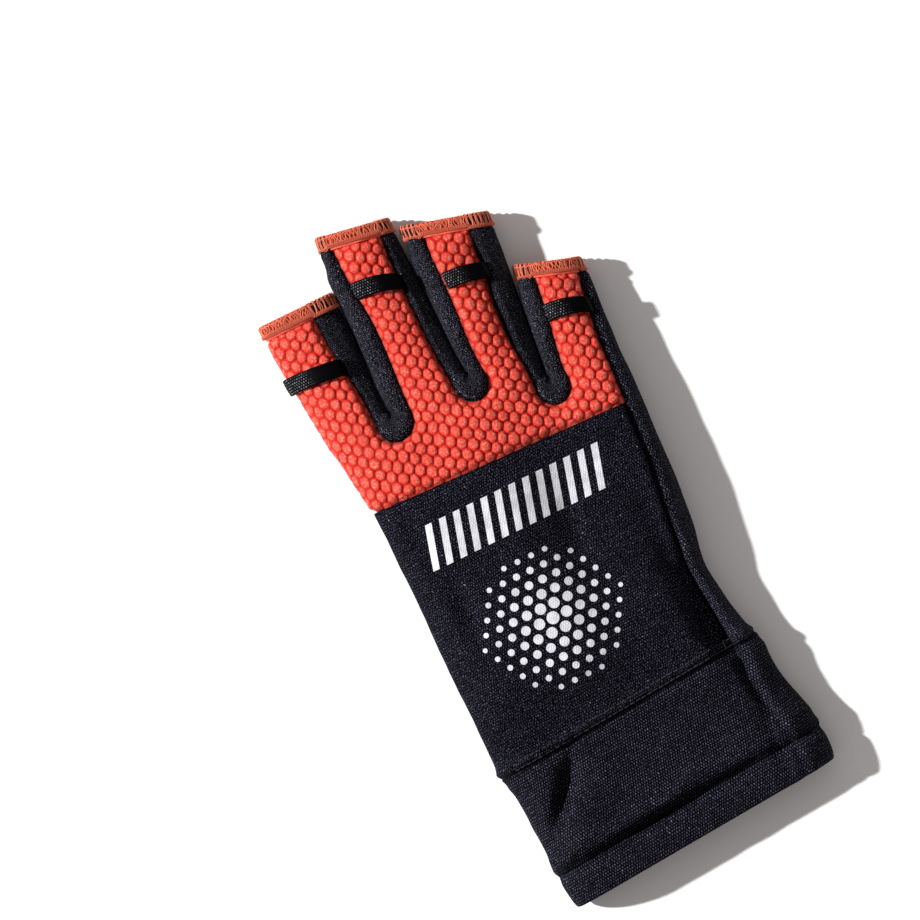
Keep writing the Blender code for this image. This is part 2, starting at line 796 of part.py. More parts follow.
def fourchette(slot, stalls, material, rows=8):
    """Gusset between two stalls: a strip bent into a U round the slot between them."""
    def surface(parameters):
        stations, angle = parameters[:, 0], parameters[:, 1]
        width = np.where(angle > 0, rim_width(slot_path(slot, stalls, stations, 0)[2]), LOWER_RIM)
        place = slot_path(slot, stalls, stations, oval_inset(np.abs(angle), width))[0]
        return np.column_stack([place, skin(place[:, 0], place[:, 1], angle)])

    stations = slot_stations()
    _, direction, y = slot_path(slot, stalls, stations, 0)
    upper_seam = slot_seam_inset(slot, stalls, stations, True) - SEAM_GAP / 2
    high = oval_angle(upper_seam, rim_width(y))
    low = -oval_angle(UNDER_SEAM_INSET - SEAM_GAP / 2, LOWER_RIM)
    share = np.linspace(0, 1, rows)
    angles = high[:, None] + (low - high[:, None]) * share[None]
    parameters = np.stack([np.repeat(stations, rows), angles.ravel()], 1)
    outward = -np.column_stack([np.repeat(direction, rows, axis=0), np.zeros(len(parameters))])
    bulge = np.tile(ROLL_RISE * np.sin(math.pi * np.clip(share * 2, 0, 1)), len(stations))
    return wall(f"fourchette_{slot}", parameters, grid(len(stations), rows), surface, outward,
                KNIT_WALL, material, bulge=bulge)


def section_x(around, y, left, right):
    """X and side at a share of the way round a cross-section, from its thumb-side edge over the
    top to its other edge and back along the underside."""
    top = around < 0.5
    share = np.where(top, around * 2, 2 - around * 2)
    half = (right - left) / 2
    width = np.minimum(np.where(top, rim_width(y), LOWER_RIM), half)
    arc = np.where(top, UPPER_ARCS[-1], LOWER_ARCS[-1]) * width
    length = 2 * arc + 2 * (half - width)
    distance = np.minimum(share, 1 - share) * length
    upper = np.interp(distance / width, UPPER_ARCS, UPPER_ANGLES)
    lower = np.interp(distance / width, LOWER_ARCS, LOWER_ANGLES)
    inset = oval_inset(np.where(top, upper, lower), width) + np.maximum(distance - arc, 0)
    x = np.where(share < 0.5, left + inset, right - inset)
    return x, np.where(top, TOP, UNDER)


def ring(name, columns, rows, edges_of, start_line, end_line, thick, material, proud=0.0):
    """A closed band of cloth round the hand or a stall, between two slanted lines."""
    def surface(parameters):
        around, share = parameters[:, 0] % 1.0, parameters[:, 1]
        level_y = start_line(0 * share) * (1 - share) + end_line(0 * share) * share
        x, side = section_x(around, level_y, *edges_of(level_y))
        y = start_line(x) * (1 - share) + end_line(x) * share
        x, side = section_x(around, y, *edges_of(y))
        return np.column_stack([x, y, skin(x, y, side)])

    around = (np.arange(columns) + 0.5) / columns
    share = np.linspace(0, 1, rows)
    parameters = np.stack([np.tile(around, rows), np.repeat(share, columns)], 1)
    points = surface(parameters)
    centre = (points.max(axis=0) + points.min(axis=0)) / 2
    outward = (points - centre) * [1, 0, 1]
    outward /= np.linalg.norm(outward, axis=1, keepdims=True)
    return wall(name, parameters, grid(rows, columns, closed=True), surface, outward, thick,
                material, proud=proud)


def hand_edges(y):
    return thumb_side_x(y), little_side_x(y)


def cuff(material):
    return ring("cuff", 44, 7, hand_edges, lambda x: mouth_line(x) + HEM_DEPTH + SEAM_GAP / 2,
                lambda x: wrist_line(x) - SEAM_GAP / 2, KNIT_WALL, material)


def cuff_hem(material):
    return ring("cuff_hem", 44, 3, hand_edges, mouth_line,
                lambda x: mouth_line(x) + HEM_DEPTH - SEAM_GAP / 2, HEM_WALL, material,
                proud=HEM_PROUD)


def tip_binding(stall, material):
    """Overlocked edge round a stall's open end."""
    return ring(f"tip_binding_{stall}", 28, 3, lambda y: stall_edges(stall, y),
                lambda x: tip_line(stall, x) - BINDING_DEPTH, lambda x: tip_line(stall, x),
                HONEYCOMB_WALL + BINDING_PROUD, material, proud=BINDING_PROUD)


def finger_loop(stall, material, columns=11):
    """Flat elastic band across the top of a stall, sewn into the seams at its sides."""
    start_level, end_level, bow = LOOPS[stall]
    start_y, end_y = float(y_of(start_level)), float(y_of(end_level))
    i = STALLS.index(stall)
    if i == 0:
        start_x = float(top_pattern_edge(start_y)) - LOOP_UNDER_REACH
    else:
        slot = SLOT_NAMES[i - 1]
        start_x = float(stall_edges(stall, start_y)[0] + seam_width(slot, start_y, True))
    if i == len(STALLS) - 1:
        end_x = float(little_side_x(end_y) - side_seam_inset(end_y))
    else:
        slot = SLOT_NAMES[i]
        end_x = float(stall_edges(stall, end_y)[1] - seam_width(slot, end_y, False))

    def surface(parameters):
        along, across = parameters[:, 0], parameters[:, 1]
        x = start_x + (end_x - start_x) * along
        bend = bow * LOOP_WIDTH * 4 * along * (1 - along)
        y = start_y + (end_y - start_y) * along + bend + LOOP_WIDTH * across
        return top_cloth(np.stack([x, y], 1))

    along = np.linspace(0, 1, columns)
    across = np.linspace(-0.5, 0.5, 3)
    parameters = np.stack([np.tile(along, len(across)), np.repeat(across, columns)], 1)
    arch = np.tile(LOOP_ARCH * np.sin(math.pi * along), len(across))
    return wall(f"finger_loop_{stall}", parameters, grid(len(across), columns), surface,
                np.array([0, 0, 1.0]), LOOP_THICKNESS, material,
                proud=SEAM_GAP + LOOP_THICKNESS, bulge=arch)


def thumb_surface(parameters):
    """Skin of the thumb stall. The first parameter is the station along its outline, as on a
    slot; the second runs from 1 at its upper centre line over the edge to -1 at its lower one."""
    along, inward = parameters[:, 0], parameters[:, 1]
    rear, tip = thumb_rear_y(), float(y_of(THUMB_LEVEL)) + THUMB_BASE_LENGTH + THUMB_FREE_LENGTH
    half = THUMB_WIDTH / 2
    tip = tip - BINDING_DEPTH - SEAM_GAP
    y = np.where(along < 1, tip + (rear - tip) * along,
                 np.where(along > 2, rear + (tip - rear) * (along - 2), rear))
    turn = math.pi * (1 + np.clip(along - 1, 0, 1))
    direction = np.stack([np.cos(turn), np.sin(turn)], 1)
    depth = np.abs(inward)
    rim = oval_inset(np.clip(depth * math.pi, 0, math.pi / 2), THUMB_RIM)
    inset = rim + (half - THUMB_RIM) * np.clip(2 * depth - 1, 0, 1)
    place = np.stack([thumb_centre(y), y], 1) + direction * (half - inset)[:, None]
    height = THUMB_HEIGHT / 2 * (1 + np.sign(inward) * oval_height(inset, THUMB_RIM))
    return np.column_stack([place, height])


def thumb_stall(material, side_stations=9, end_stations=8):
    """Flattened tube under the palm, closed round its base and open above to the palm's hole."""
    front = float(y_of(THUMB_LEVEL)) + THUMB_BASE_LENGTH
    rear, tip = thumb_rear_y(), front + THUMB_FREE_LENGTH - BINDING_DEPTH - SEAM_GAP
    front_share = (tip - front) / (tip - rear)
    free = np.linspace(0, front_share, side_stations - 3)
    base = np.linspace(front_share, 1, 5)[1:]
    down = np.concatenate([free, base])
    stations = np.concatenate([down, np.linspace(1, 2, end_stations + 1)[1:], 3 - down[::-1][1:]])
    inward = np.concatenate([np.linspace(1, 0.5, 4)[:-1], np.linspace(0.5, -0.5, 9),
                             np.linspace(-0.5, -1, 4)[1:]])
    parameters = np.stack([np.repeat(stations, len(inward)), np.tile(inward, len(stations))], 1)
    faces = []
    for face in grid(len(stations), len(inward)):
        middle = parameters[list(face)].mean(axis=0)
        in_base = front_share < middle[0] < 3 - front_share
        if not (in_base and middle[1] > 0.5):
            faces.append(face)
    points = thumb_surface(parameters)
    outward = np.column_stack([np.zeros((len(points), 2)), np.sign(parameters[:, 1])])
    return wall("thumb_stall", parameters, faces, thumb_surface, outward, THUMB_WALL, material)


def thumb_binding(material, columns=24):
    """Overlocked edge round the thumb stall's open end."""
    front = float(y_of(THUMB_LEVEL)) + THUMB_BASE_LENGTH
    tip = front + THUMB_FREE_LENGTH
    half = THUMB_WIDTH / 2

    def surface(parameters):
        around, share = parameters[:, 0] % 1.0, parameters[:, 1]
        top = around < 0.5
        across = np.where(top, around * 2, 2 - around * 2)
        nearer = np.minimum(across, 1 - across) * 2
        rim = oval_inset(np.clip(nearer * math.pi, 0, math.pi / 2), THUMB_RIM)
        inset = rim + (half - THUMB_RIM) * np.clip(2 * nearer - 1, 0, 1)
        centre = thumb_centre(share)
        x = np.where(across < 0.5, centre - half + inset, centre + half - inset)
        y = tip - BINDING_DEPTH * (1 - share)
        sign = np.where(top, 1.0, -1.0)
        z = THUMB_HEIGHT / 2 * (1 + sign * oval_height(inset, THUMB_RIM))
        return np.column_stack([x, y, z])

    around = (np.arange(columns) + 0.5) / columns
    share = np.linspace(0, 1, 3)
    parameters = np.stack([np.tile(around, 3), np.repeat(share, columns)], 1)
    outward = (surface(parameters) - [float(thumb_centre(0)), 0, THUMB_HEIGHT / 2]) * [1, 0, 1]
    return wall("tip_binding_thumb", parameters, grid(3, columns, closed=True), surface, outward,
                THUMB_WALL, material)


def centre_on_floor(pieces):
    """Moves the pieces together, so that the glove's middle is over the origin."""
    points = np.array([v.co for piece in pieces for v in piece.data.vertices])
    low, high = points.min(axis=0), points.max(axis=0)
    offset = Vector((-(low[0] + high[0]) / 2, -(low[1] + high[1]) / 2, -low[2]))
    for piece in pieces:
        piece.data.transform(Matrix.Translation(offset))


def main():
    for obj in list(bpy.data.objects):
        bpy.data.objects.remove(obj)
    coral = cloth_material("coral_honeycomb", CORAL, 0.75)
    black = cloth_material("black_knit", BLACK, 0.85)
    thread = cloth_material("coral_thread", THREAD, 0.6)
    elastic = cloth_material("black_elastic", ELASTIC, 0.5)
    pieces = [knuckle_panel(coral), back_panel(black), palm_panel(black), cuff(black),
              cuff_hem(black), thumb_stall(black), thumb_binding(thread)]
    for i, slot in enumerate(SLOT_NAMES):
        pieces.append(fourchette(slot, STALLS[i:i + 2], black))
    for stall in STALLS:
        pieces.append(tip_binding(stall, thread))
        pieces.append(finger_loop(stall, elastic))
    centre_on_floor(pieces)


main()
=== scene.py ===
"""Looks of the right-hand fingerless running glove: every cloth, seam and thread in detail.

Metres, +Z up. The shapes are worked out with the fingers pointing to +Y and the thumb side at -X,
from the middle of the cuff's mouth, and are moved to the frame at the end. A level is a station
along the glove: 0 at the mouth of the cuff, 1 at the wrist seam, 2 at the honeycomb panel's lower
edge and 3 at the tip of the middle stall.
"""

import math

import bpy
import numpy as np
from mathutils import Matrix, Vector
from mathutils.geometry import delaunay_2d_cdt
from mathutils.kdtree import KDTree


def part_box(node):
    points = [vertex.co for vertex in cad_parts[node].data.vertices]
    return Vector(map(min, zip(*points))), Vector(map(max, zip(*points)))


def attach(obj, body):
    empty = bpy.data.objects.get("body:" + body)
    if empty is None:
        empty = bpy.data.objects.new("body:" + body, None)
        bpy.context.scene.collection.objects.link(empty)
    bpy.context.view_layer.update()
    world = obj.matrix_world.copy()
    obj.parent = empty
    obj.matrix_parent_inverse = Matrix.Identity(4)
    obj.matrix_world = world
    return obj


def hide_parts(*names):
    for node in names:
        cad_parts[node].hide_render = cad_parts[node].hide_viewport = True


MM = 0.001

# Lengths along the glove
CUFF_LENGTH = 48 * MM
BACK_LENGTH = 93 * MM
FINGER_REACH = 92 * MM
HEM_DEPTH = 11 * MM
BINDING_DEPTH = 3.9 * MM

# About how long each side of a slot is, for what fades out near its ends
SLOT_SIDE = 55 * MM

# Widths across it
PALM_WIDTH = 97 * MM
FOURCHETTE_WIDTH = 6 * MM
CROTCH_DEPTH = 9.6 * MM
CROTCH_GAP = 0.45 * MM
TIP_GAP = 0.95 * MM
SIDE_SEAM_INSET = 6.5 * MM
RADIAL_SEAM_INSET = 4 * MM
UNDER_SEAM_INSET = 4.5 * MM

# Heights, from the floor that the glove lies on
CUFF_THICKNESS = 15 * MM
HAND_THICKNESS = 17 * MM
FINGER_THICKNESS = 15 * MM
EDGE_SHARE = 0.44
SAG_OVER_THUMB = 0.16

# How far in from its silhouette the glove's roundness reaches, above and below
CUFF_RIM = 15 * MM
HAND_RIM = 17 * MM
FINGER_RIM = 14.5 * MM
LOWER_RIM = 8 * MM
ROUNDNESS = 2.05

# Cloth
KNIT_WALL = 1.6 * MM
HONEYCOMB_WALL = 2.1 * MM
HEM_WALL = 2.8 * MM
BINDING_PROUD = 0.4 * MM
BOUND_WALL = 1.4 * MM
SEAM_GAP = 0.06 * MM

# Elastic finger loops
LOOP_WIDTH = 6 * MM
LOOP_THICKNESS = 1.2 * MM
LOOP_ARCH = 1.1 * MM
LOOP_UNDER_REACH = 3.2 * MM
LOOP_TUCK = 1.2 * MM
LOOP_SINK = 2.3 * MM
LOOP_SQUARENESS = 0.55
LOOP_RIBS = 5
RIB_DEPTH = 0.20 * MM
BRAID_PITCH = 1.25 * MM

# Thumb stall, flat under the palm
THUMB_WIDTH = 28 * MM
THUMB_HEIGHT = 8.4 * MM
THUMB_WALL = 1.3 * MM
THUMB_BASE_LENGTH = 35 * MM
THUMB_FREE_LENGTH = 40 * MM
THUMB_RIM = 5 * MM

# Slants, as a rise in Y for each unit of X
CUFF_SLANT = 0.073
KNUCKLE_SLANT = -0.035

# Honeycomb domes
DOME_PITCH = 4.26 * MM
DOME_COLUMN = 3.23 * MM
DOME_HEIGHT = 0.95 * MM
DOME_STEPS = 7

# Overlocking round the stalls' ends. A foot is a share of the binding's depth
OVERLOCK_PITCH = 1.7 * MM
OVERLOCK_FOOT = -0.04
CORAL_FOOT = 0.17
OVERLOCK_RADIUS = 0.150 * MM
CHAIN_RADIUS = 0.16 * MM
RIM_THREAD_RADIUS = 0.17 * MM

# Relief: the roll of doubled cloth above the wrist seam, the valley between cuff and hem, how far
# the side seam's groove spreads beside the wrist on each cloth, and the height from which the
# outer skin counts as the top side
WRIST_ROLL = 2.3 * MM
WRIST_ROLL_WIDTH = 1.7 * MM
VALLEY_DEPTH = 4.6 * MM
BACK_GROOVE = 4.4 * MM
PALM_GROOVE = 1.9 * MM
CUFF_GROOVE = 2.6 * MM
TOP_SIDE_FROM = 5 * MM

# Two rows of stitches along the wrist seam: how far above it each row is, and their ends in X
STITCH_ROWS = {"low": 1.1 * MM, "high": 3.3 * MM}
STITCH_LEFT, STITCH_RIGHT = -48 * MM, 36.5 * MM
STITCH_PITCH = 2.2 * MM
STITCH_RADIUS = 0.17 * MM

# Print on the back's flat pattern: slanted bars above a disc of dots that shrink outwards
PRINT_PROUD = 0.10 * MM
BAR_COUNT = 13
BAR_START, BAR_STEP = -43.5 * MM, 5.1 * MM
BAR_LOW, BAR_HIGH = 117 * MM, 132 * MM
BAR_WIDTH, BAR_LEAN = 2.4 * MM, 4.2 * MM
BAR_ROWS, BAR_COLUMNS = 26, 5
DISC_CENTRE = (-14.5 * MM, 86 * MM)
DISC_RADIUS = 25 * MM
DOT_STEP = 5.0 * MM
DOT_RADIUS, DOT_SHRINK = 2.15 * MM, 1.35 * MM
DOT_CORNERS = 28

# Meshing: spacing of points on cloths, counts of points round and along the other pieces, and the
# angles from which an edge is sharp
HAND_COLUMNS, CUFF_ROWS, HEM_ROWS = 230, 44, 18
TIP_COLUMNS, THUMB_COLUMNS, BINDING_ROWS = 130, 110, 10
GUSSET_SIDE_STEPS, GUSSET_END_STEPS, GUSSET_ROWS = 70, 40, 30
LOOP_COLUMNS, LOOP_ROWS = 240, 64
THREAD_SIDES = 6
INNER_SPACING = 3.2 * MM
BACK_SPACING = 0.8 * MM
PALM_SPACING = 1.0 * MM
CLOTH_CREASE = math.radians(75)
PRINT_CREASE = math.radians(50)

# Knits: width and length of a stitch and how far its rows wander, in millimetres, the colour of
# the stitches round their pits, the colour of the painted glints on a few of them, and the share
# of those
KNITS = {
    # name: across, along, wander, light, painted glint, painted glint share
    "black_knit_cloth": (0.86, 0.94, 0.42, (0.060, 0.060, 0.094), (0.20, 0.20, 0.22), 0.03),
    "black_cuff_knit": (0.92, 0.98, 0.20, (0.072, 0.072, 0.110), (0.18, 0.18, 0.20), 0.02),
    # The palm cloth's knit is lighter than the back's, partly as painted light for its lit side
    # strip
    "black_side_knit": (0.74, 0.80, 0.32, (0.086, 0.086, 0.126), (0.26, 0.26, 0.29), 0.04),
    "black_fine_knit": (0.62, 0.66, 0.40, (0.110, 0.110, 0.148), (0.42, 0.42, 0.47), 0.09),
}
THREADS = {
    # name: deep colour, pale colour, roughness
    "orange_thread": ((0.50, 0.050, 0.018), (0.93, 0.27, 0.125), 0.6),
    "black_thread": ((0.001, 0.001, 0.002), (0.010, 0.010, 0.015), 0.7),
}

# Edges of the hand: level, thumb side and little-finger side as shares of PALM_WIDTH
EDGES = [
    # level, thumb, little
    (-0.20, -0.510, 0.504),
    (0.00, -0.515, 0.508),
    (0.21, -0.526, 0.515),
    (0.42, -0.528, 0.509),
    (0.63, -0.531, 0.483),
    (0.83, -0.539, 0.466),
    (1.00, -0.554, 0.459),
    (1.10, -0.552, 0.436),
    (1.22, -0.550, 0.413),
    (1.34, -0.551, 0.405),
    (1.47, -0.549, 0.422),
    (1.60, -0.546, 0.439),
    (1.77, -0.546, 0.448),
    (2.00, -0.546, 0.456),
    (2.26, -0.577, 0.468),
    (2.53, -0.604, 0.478),
    (2.81, -0.624, 0.482),
    (3.00, -0.632, 0.484),
]

# Seam where the palm cloth comes over the little-finger side: level, share of SIDE_SEAM_INSET
SIDE_SEAM = [
    # level, inset
    (-0.20, 1.60),
    (0.40, 1.70),
    (1.00, 1.35),
    (1.30, 0.98),
    (1.60, 1.05),
    (1.80, 0.85),
    (2.00, 0.78),
    (2.26, 0.64),
    (2.40, 0.36),
    (2.60, 0.32),
    (3.00, 0.32),
]

# Slots between the stalls. Each row: level, centre line as a share of PALM_WIDTH, and the width of
# the fourchette on the slot's thumb side and little-finger side as shares of FOURCHETTE_WIDTH
SLOTS = {
    "index_middle": [
        # level, centre, thumb side, little side
        (2.326, -0.345, 0.84, 1.00),
        (2.43, -0.347, 0.84, 1.13),
        (2.53, -0.341, 1.12, 1.12),
        (2.64, -0.336, 1.38, 1.05),
        (2.77, -0.334, 1.50, 0.83),
        (3.00, -0.325, 1.50, 0.45),
    ],
    "middle_ring": [
        # level, centre, thumb side, little side
        (2.337, -0.047, 0.80, 0.78),
        (2.43, -0.051, 0.80, 0.87),
        (2.53, -0.051, 0.84, 0.95),
        (2.64, -0.050, 0.82, 1.00),
        (2.80, -0.049, 0.74, 0.97),
        (3.00, -0.046, 0.74, 0.88),
    ],
    "ring_pinky": [
        # level, centre, thumb side, little side
        (2.196, 0.199, 0.74, 0.80),
        (2.32, 0.213, 0.95, 0.90),
        (2.43, 0.225, 1.06, 0.97),
        (2.53, 0.238, 1.20, 0.90),
        (2.64, 0.251, 1.06, 0.66),
        (2.80, 0.269, 1.32, 0.60),
        (3.00, 0.280, 1.32, 0.60),
    ],
}

# Open ends of the stalls: levels at the thumb side and the little-finger side of each
TIPS = {
    # stall: thumb side, little side
    "index": (2.80, 2.80),
    "middle": (3.00, 2.955),
    "ring": (2.905, 2.82),
    "pinky": (2.60, 2.525),
}

# Finger loops: levels of the middle of the band at its two ends, and its bow towards the tip as a
# share of LOOP_WIDTH
LOOPS = {
    # stall: thumb end, little end, bow
    "index": (2.566, 2.543, 0.12),
    "middle": (2.772, 2.722, 0.24),
    "ring": (2.662, 2.626, 0.18),
    "pinky": (2.398, 2.345, 0.26),
}

# Dents (negative) and swells (positive) of the top cloth. Each row: level, place across as a share
# of PALM_WIDTH, half length and half width as shares of PALM_WIDTH, lean from Y in degrees, and
# depth as a share of HAND_THICKNESS
FOLDS = [
    # level, across, length, width, lean, depth
    (1.27, 0.315, 0.30, 0.045, 2, -0.20),
    (1.70, 0.375, 0.28, 0.035, -5, 0.08),
    (1.42, 0.190, 0.30, 0.120, -6, 0.10),
    (0.66, -0.380, 0.12, 0.028, -38, -0.32),
    (0.55, -0.300, 0.12, 0.070, -36, 0.06),
    (1.84, -0.445, 0.17, 0.035, 2, -0.10),
    (1.66, 0.045, 0.13, 0.048, -10, -0.12),
    (1.60, -0.405, 0.13, 0.040, -6, -0.13),
    (1.20, 0.160, 0.34, 0.110, -4, 0.07),
    (0.42, 0.360, 0.17, 0.030, -4, -0.10),
    (2.20, -0.210, 0.12, 0.050, -58, -0.06),
]

# Where the stack of thumb stall and palm lifts the hand: levels and shares of PALM_WIDTH
LIFT_START = (0.90, 1.26)
LIFT_END = (2.10, 2.66)
LIFT_SIDE = (-0.160, 0.200)
THUMB_AXIS = -0.322
THUMB_LEVEL = 1.29

# How far the stack lifts the hand's underside
LIFT = THUMB_HEIGHT + 0.3 * MM

# Camera: how far its top leans from +Y in degrees, the width that it sees, and its middle
CAMERA_LEAN = -26.0
CAMERA_WIDTH = 306.4 * MM
CAMERA_PLACE = (-13.9 * MM, 31.8 * MM)
CAMERA_HEIGHT = 2.6

# How far the tops of the stalls lean down towards the little finger, as a slope
STALL_LEANS = {"index": 0.03, "middle": 0.10, "ring": 0.324, "pinky": 0.10}

# Key light: direction in the photograph in degrees counter-clockwise from its right, height and
# spread in degrees, and power in watts per square metre
KEY_DIRECTION = 176.0
KEY_HEIGHT = 33.0
KEY_SPREAD = 2.6
KEY_POWER = 6.0

# Surroundings' light, and half the floor's width
WORLD_COLOUR = (1.0, 0.94, 0.92)
WORLD_STRENGTH = 0.345
FLOOR_HALF = 1.5

STALLS = list(TIPS)
SLOT_NAMES = list(SLOTS)
LEVELS = np.array([-1.0, 0.0, 1.0, 2.0, 3.0, 4.0])
LEVEL_YS = np.cumsum([-CUFF_LENGTH, CUFF_LENGTH, CUFF_LENGTH, BACK_LENGTH, FINGER_REACH,
                      FINGER_REACH])
TOP, UNDER = 1.0, -1.0
UP = np.array([0, 0, 1.0])
PARAMETER_STEP = 1e-5


# Reading the tables

def y_of(level):
    """Y at a level."""
    return np.interp(level, LEVELS, LEVEL_YS)


def level_of(y):
    """Level at Y."""
    return np.interp(y, LEVEL_YS, LEVELS)


def column(rows, index, level):
    """A table's column at any level, on a smooth cubic through its rows."""
    knots = np.array([row[0] for row in rows])
    values = np.array([row[index] for row in rows])
    slopes = np.gradient(values, knots)
    at = np.clip(level, knots[0], knots[-1])
    i = np.clip(np.searchsorted(knots, at, side="right") - 1, 0, len(knots) - 2)
    width = knots[i + 1] - knots[i]
    t = (at - knots[i]) / width
    return ((2 * t**3 - 3 * t**2 + 1) * values[i] + (t**3 - 2 * t**2 + t) * width * slopes[i]
            + (3 * t**2 - 2 * t**3) * values[i + 1] + (t**3 - t**2) * width * slopes[i + 1])


def smooth_step(value, low, high):
    """0 below the low value, 1 above the high one, and a smooth rise between."""
    t = np.clip((value - low) / (high - low), 0, 1)
    return t * t * (3 - 2 * t)


def by_zone(y, cuff, hand, finger):
    """A size that changes along the glove from its cuff value to its hand and finger values."""
    level = level_of(y)
    in_hand = smooth_step(level, 0.6, 1.4)
    in_finger = smooth_step(level, 2.0, 2.5)
    return cuff + (hand - cuff) * in_hand + (finger - hand) * in_finger


def bell(distance, width):
    """1 where the distance is 0, falling smoothly to nothing past the width."""
    return np.exp(-(distance / width) ** 2)


# Outlines seen from above

def thumb_side_x(y):
    """X of the silhouette on the thumb side."""
    return column(EDGES, 1, level_of(y)) * PALM_WIDTH


def little_side_x(y):
    """X of the silhouette on the little-finger side."""
    return column(EDGES, 2, level_of(y)) * PALM_WIDTH


def side_seam_inset(y):
    """How far in from that silhouette the side seam runs."""
    return column(SIDE_SEAM, 1, level_of(y)) * SIDE_SEAM_INSET


def slot_end_y(slot):
    """Y of the middle of the slot's round end."""
    return float(y_of(SLOTS[slot][0][0]))


def slot_x(slot, y):
    """X of the slot's centre line."""
    return column(SLOTS[slot], 1, level_of(y)) * PALM_WIDTH


def slot_gap(slot, y):
    """Half the width of the open slot."""
    return CROTCH_GAP + (TIP_GAP - CROTCH_GAP) * smooth_step(y, slot_end_y(slot), y_of(2.9))


def seam_width(slot, y, little_side):
    """How wide the fourchette shows from above beside the slot."""
    return column(SLOTS[slot], 3 if little_side else 2, level_of(y)) * FOURCHETTE_WIDTH


def distances(x, y):
    """Distance inwards from each edge of the silhouette: both sides of the hand and each slot."""
    found = [x - thumb_side_x(y), little_side_x(y) - x]
    for slot in SLOT_NAMES:
        end_y = slot_end_y(slot)
        below = np.minimum(y - end_y, 0)
        found.append(np.hypot(x - slot_x(slot, y), below) - slot_gap(slot, y))
    return found


# The glove's outer skin

def rim_width(y):
    """How far in the top side's roundness reaches."""
    return by_zone(y, CUFF_RIM, HAND_RIM, FINGER_RIM)


def oval_height(distance, width):
    """Height of a quarter oval, 0 at its edge and 1 where the distance reaches its width."""
    t = np.clip(distance / width, 0, 1)
    return (1 - (1 - t) ** ROUNDNESS) ** (1 / ROUNDNESS)


def oval_inset(angle, width):
    """Distance in from the edge at an angle round a quarter oval."""
    return width * (1 - np.cos(angle) ** (2 / ROUNDNESS))


def oval_angle(inset, width):
    """Angle round a quarter oval at a distance in from its edge."""
    return np.arccos(np.clip(1 - inset / width, 0, 1) ** (ROUNDNESS / 2))


def plateau(distance_list, width):
    """0 at every edge and 1 farther in than the width from all of them."""
    height = 1.0
    for distance in distance_list:
        height *= oval_height(distance, width)
    return height


def lift(x, y):
    """How far the thumb stall below raises the palm."""
    level = level_of(y)
    along = smooth_step(level, *LIFT_START) * (1 - smooth_step(level, *LIFT_END))
    across = 1 - smooth_step(x / PALM_WIDTH, *LIFT_SIDE)
    return LIFT * along * across


def thickness(x, y):
    """Height of the glove's body, less where it sags over the thumb stall."""
    full = by_zone(y, CUFF_THICKNESS, HAND_THICKNESS, FINGER_THICKNESS)
    return full * (1 - SAG_OVER_THUMB * lift(x, y) / LIFT)


def folds(x, y):
    """Height that the dents and swells add to the top cloth."""
    height = 0.0
    for level, across, length, width, lean, depth in FOLDS:
        dx, dy = x - across * PALM_WIDTH, y - y_of(level)
        turn = math.radians(lean)
        along = dx * -math.sin(turn) + dy * math.cos(turn)
        aside = dx * math.cos(turn) + dy * math.sin(turn)
        shape = (along / (length * PALM_WIDTH)) ** 2 + (aside / (width * PALM_WIDTH)) ** 2
        height += depth * HAND_THICKNESS * np.exp(-shape)
    return height


def skin(x, y, side):
    """Height of the outer skin, on its top side or underside."""
    edge_list = distances(x, y)
    upper = plateau(edge_list, rim_width(y))
    lower = plateau(edge_list, LOWER_RIM)
    raised, thick = lift(x, y), thickness(x, y)
    middle = raised + EDGE_SHARE * thick
    top = middle + (1 - EDGE_SHARE) * thick * upper + folds(x, y) * upper**2
    return np.where(side > 0, top, middle - EDGE_SHARE * thick * lower)


# Flat patterns: distance along the cloth where it turns round a rim

def arc_lengths(aspect):
    """Angles round a quarter oval of width 1, and the length of cloth from its edge to each."""
    angles = np.linspace(0, math.pi / 2, 60)
    inset = oval_inset(angles, 1.0)
    height = aspect * np.sin(angles) ** (2 / ROUNDNESS)
    steps = np.hypot(np.diff(inset), np.diff(height))
    return angles, np.concatenate([[0], np.cumsum(steps)])


UPPER_ANGLES, UPPER_ARCS = arc_lengths(0.55)
LOWER_ANGLES, LOWER_ARCS = arc_lengths(0.85)


def wrapped(distance, near_width, near, far):
    """Inset from the silhouette, and whether it is on the far side, of a point on cloth that runs
    in from its near side, turns at the silhouette and goes back on its far side. The distance is
    measured from the silhouette along the cloth, positive on the near side."""
    near_angles, near_arcs = near
    far_width, far_angles, far_arcs = far
    angle = np.interp(distance / near_width, near_arcs, near_angles)
    beyond = np.maximum(distance - near_width * near_arcs[-1], 0)
    near_inset = oval_inset(angle, near_width) + beyond
    far_inset = oval_inset(np.interp(-distance / far_width, far_arcs, far_angles), far_width)
    return np.where(distance >= 0, near_inset, far_inset), distance < 0


def top_pattern_edge(y):
    """Pattern X of the thumb-side silhouette on the top cloth."""
    return thumb_side_x(y) + rim_width(y) * (1 - UPPER_ARCS[-1])


def top_cloth(parameters):
    """Top cloth from its flat pattern (X, Y). It goes over the thumb side to the seam below."""
    pattern_x, y = parameters[:, 0], parameters[:, 1]
    distance = pattern_x - top_pattern_edge(y)
    inset, under = wrapped(distance, rim_width(y), (UPPER_ANGLES, UPPER_ARCS),
                           (LOWER_RIM, LOWER_ANGLES, LOWER_ARCS))
    x = thumb_side_x(y) + inset
    return np.stack([x, y, skin(x, y, np.where(under, UNDER, TOP))], axis=1)


def under_pattern_edge(y):
    """Pattern X of the little-finger-side silhouette on the palm cloth."""
    return little_side_x(y) - LOWER_RIM * (1 - LOWER_ARCS[-1])


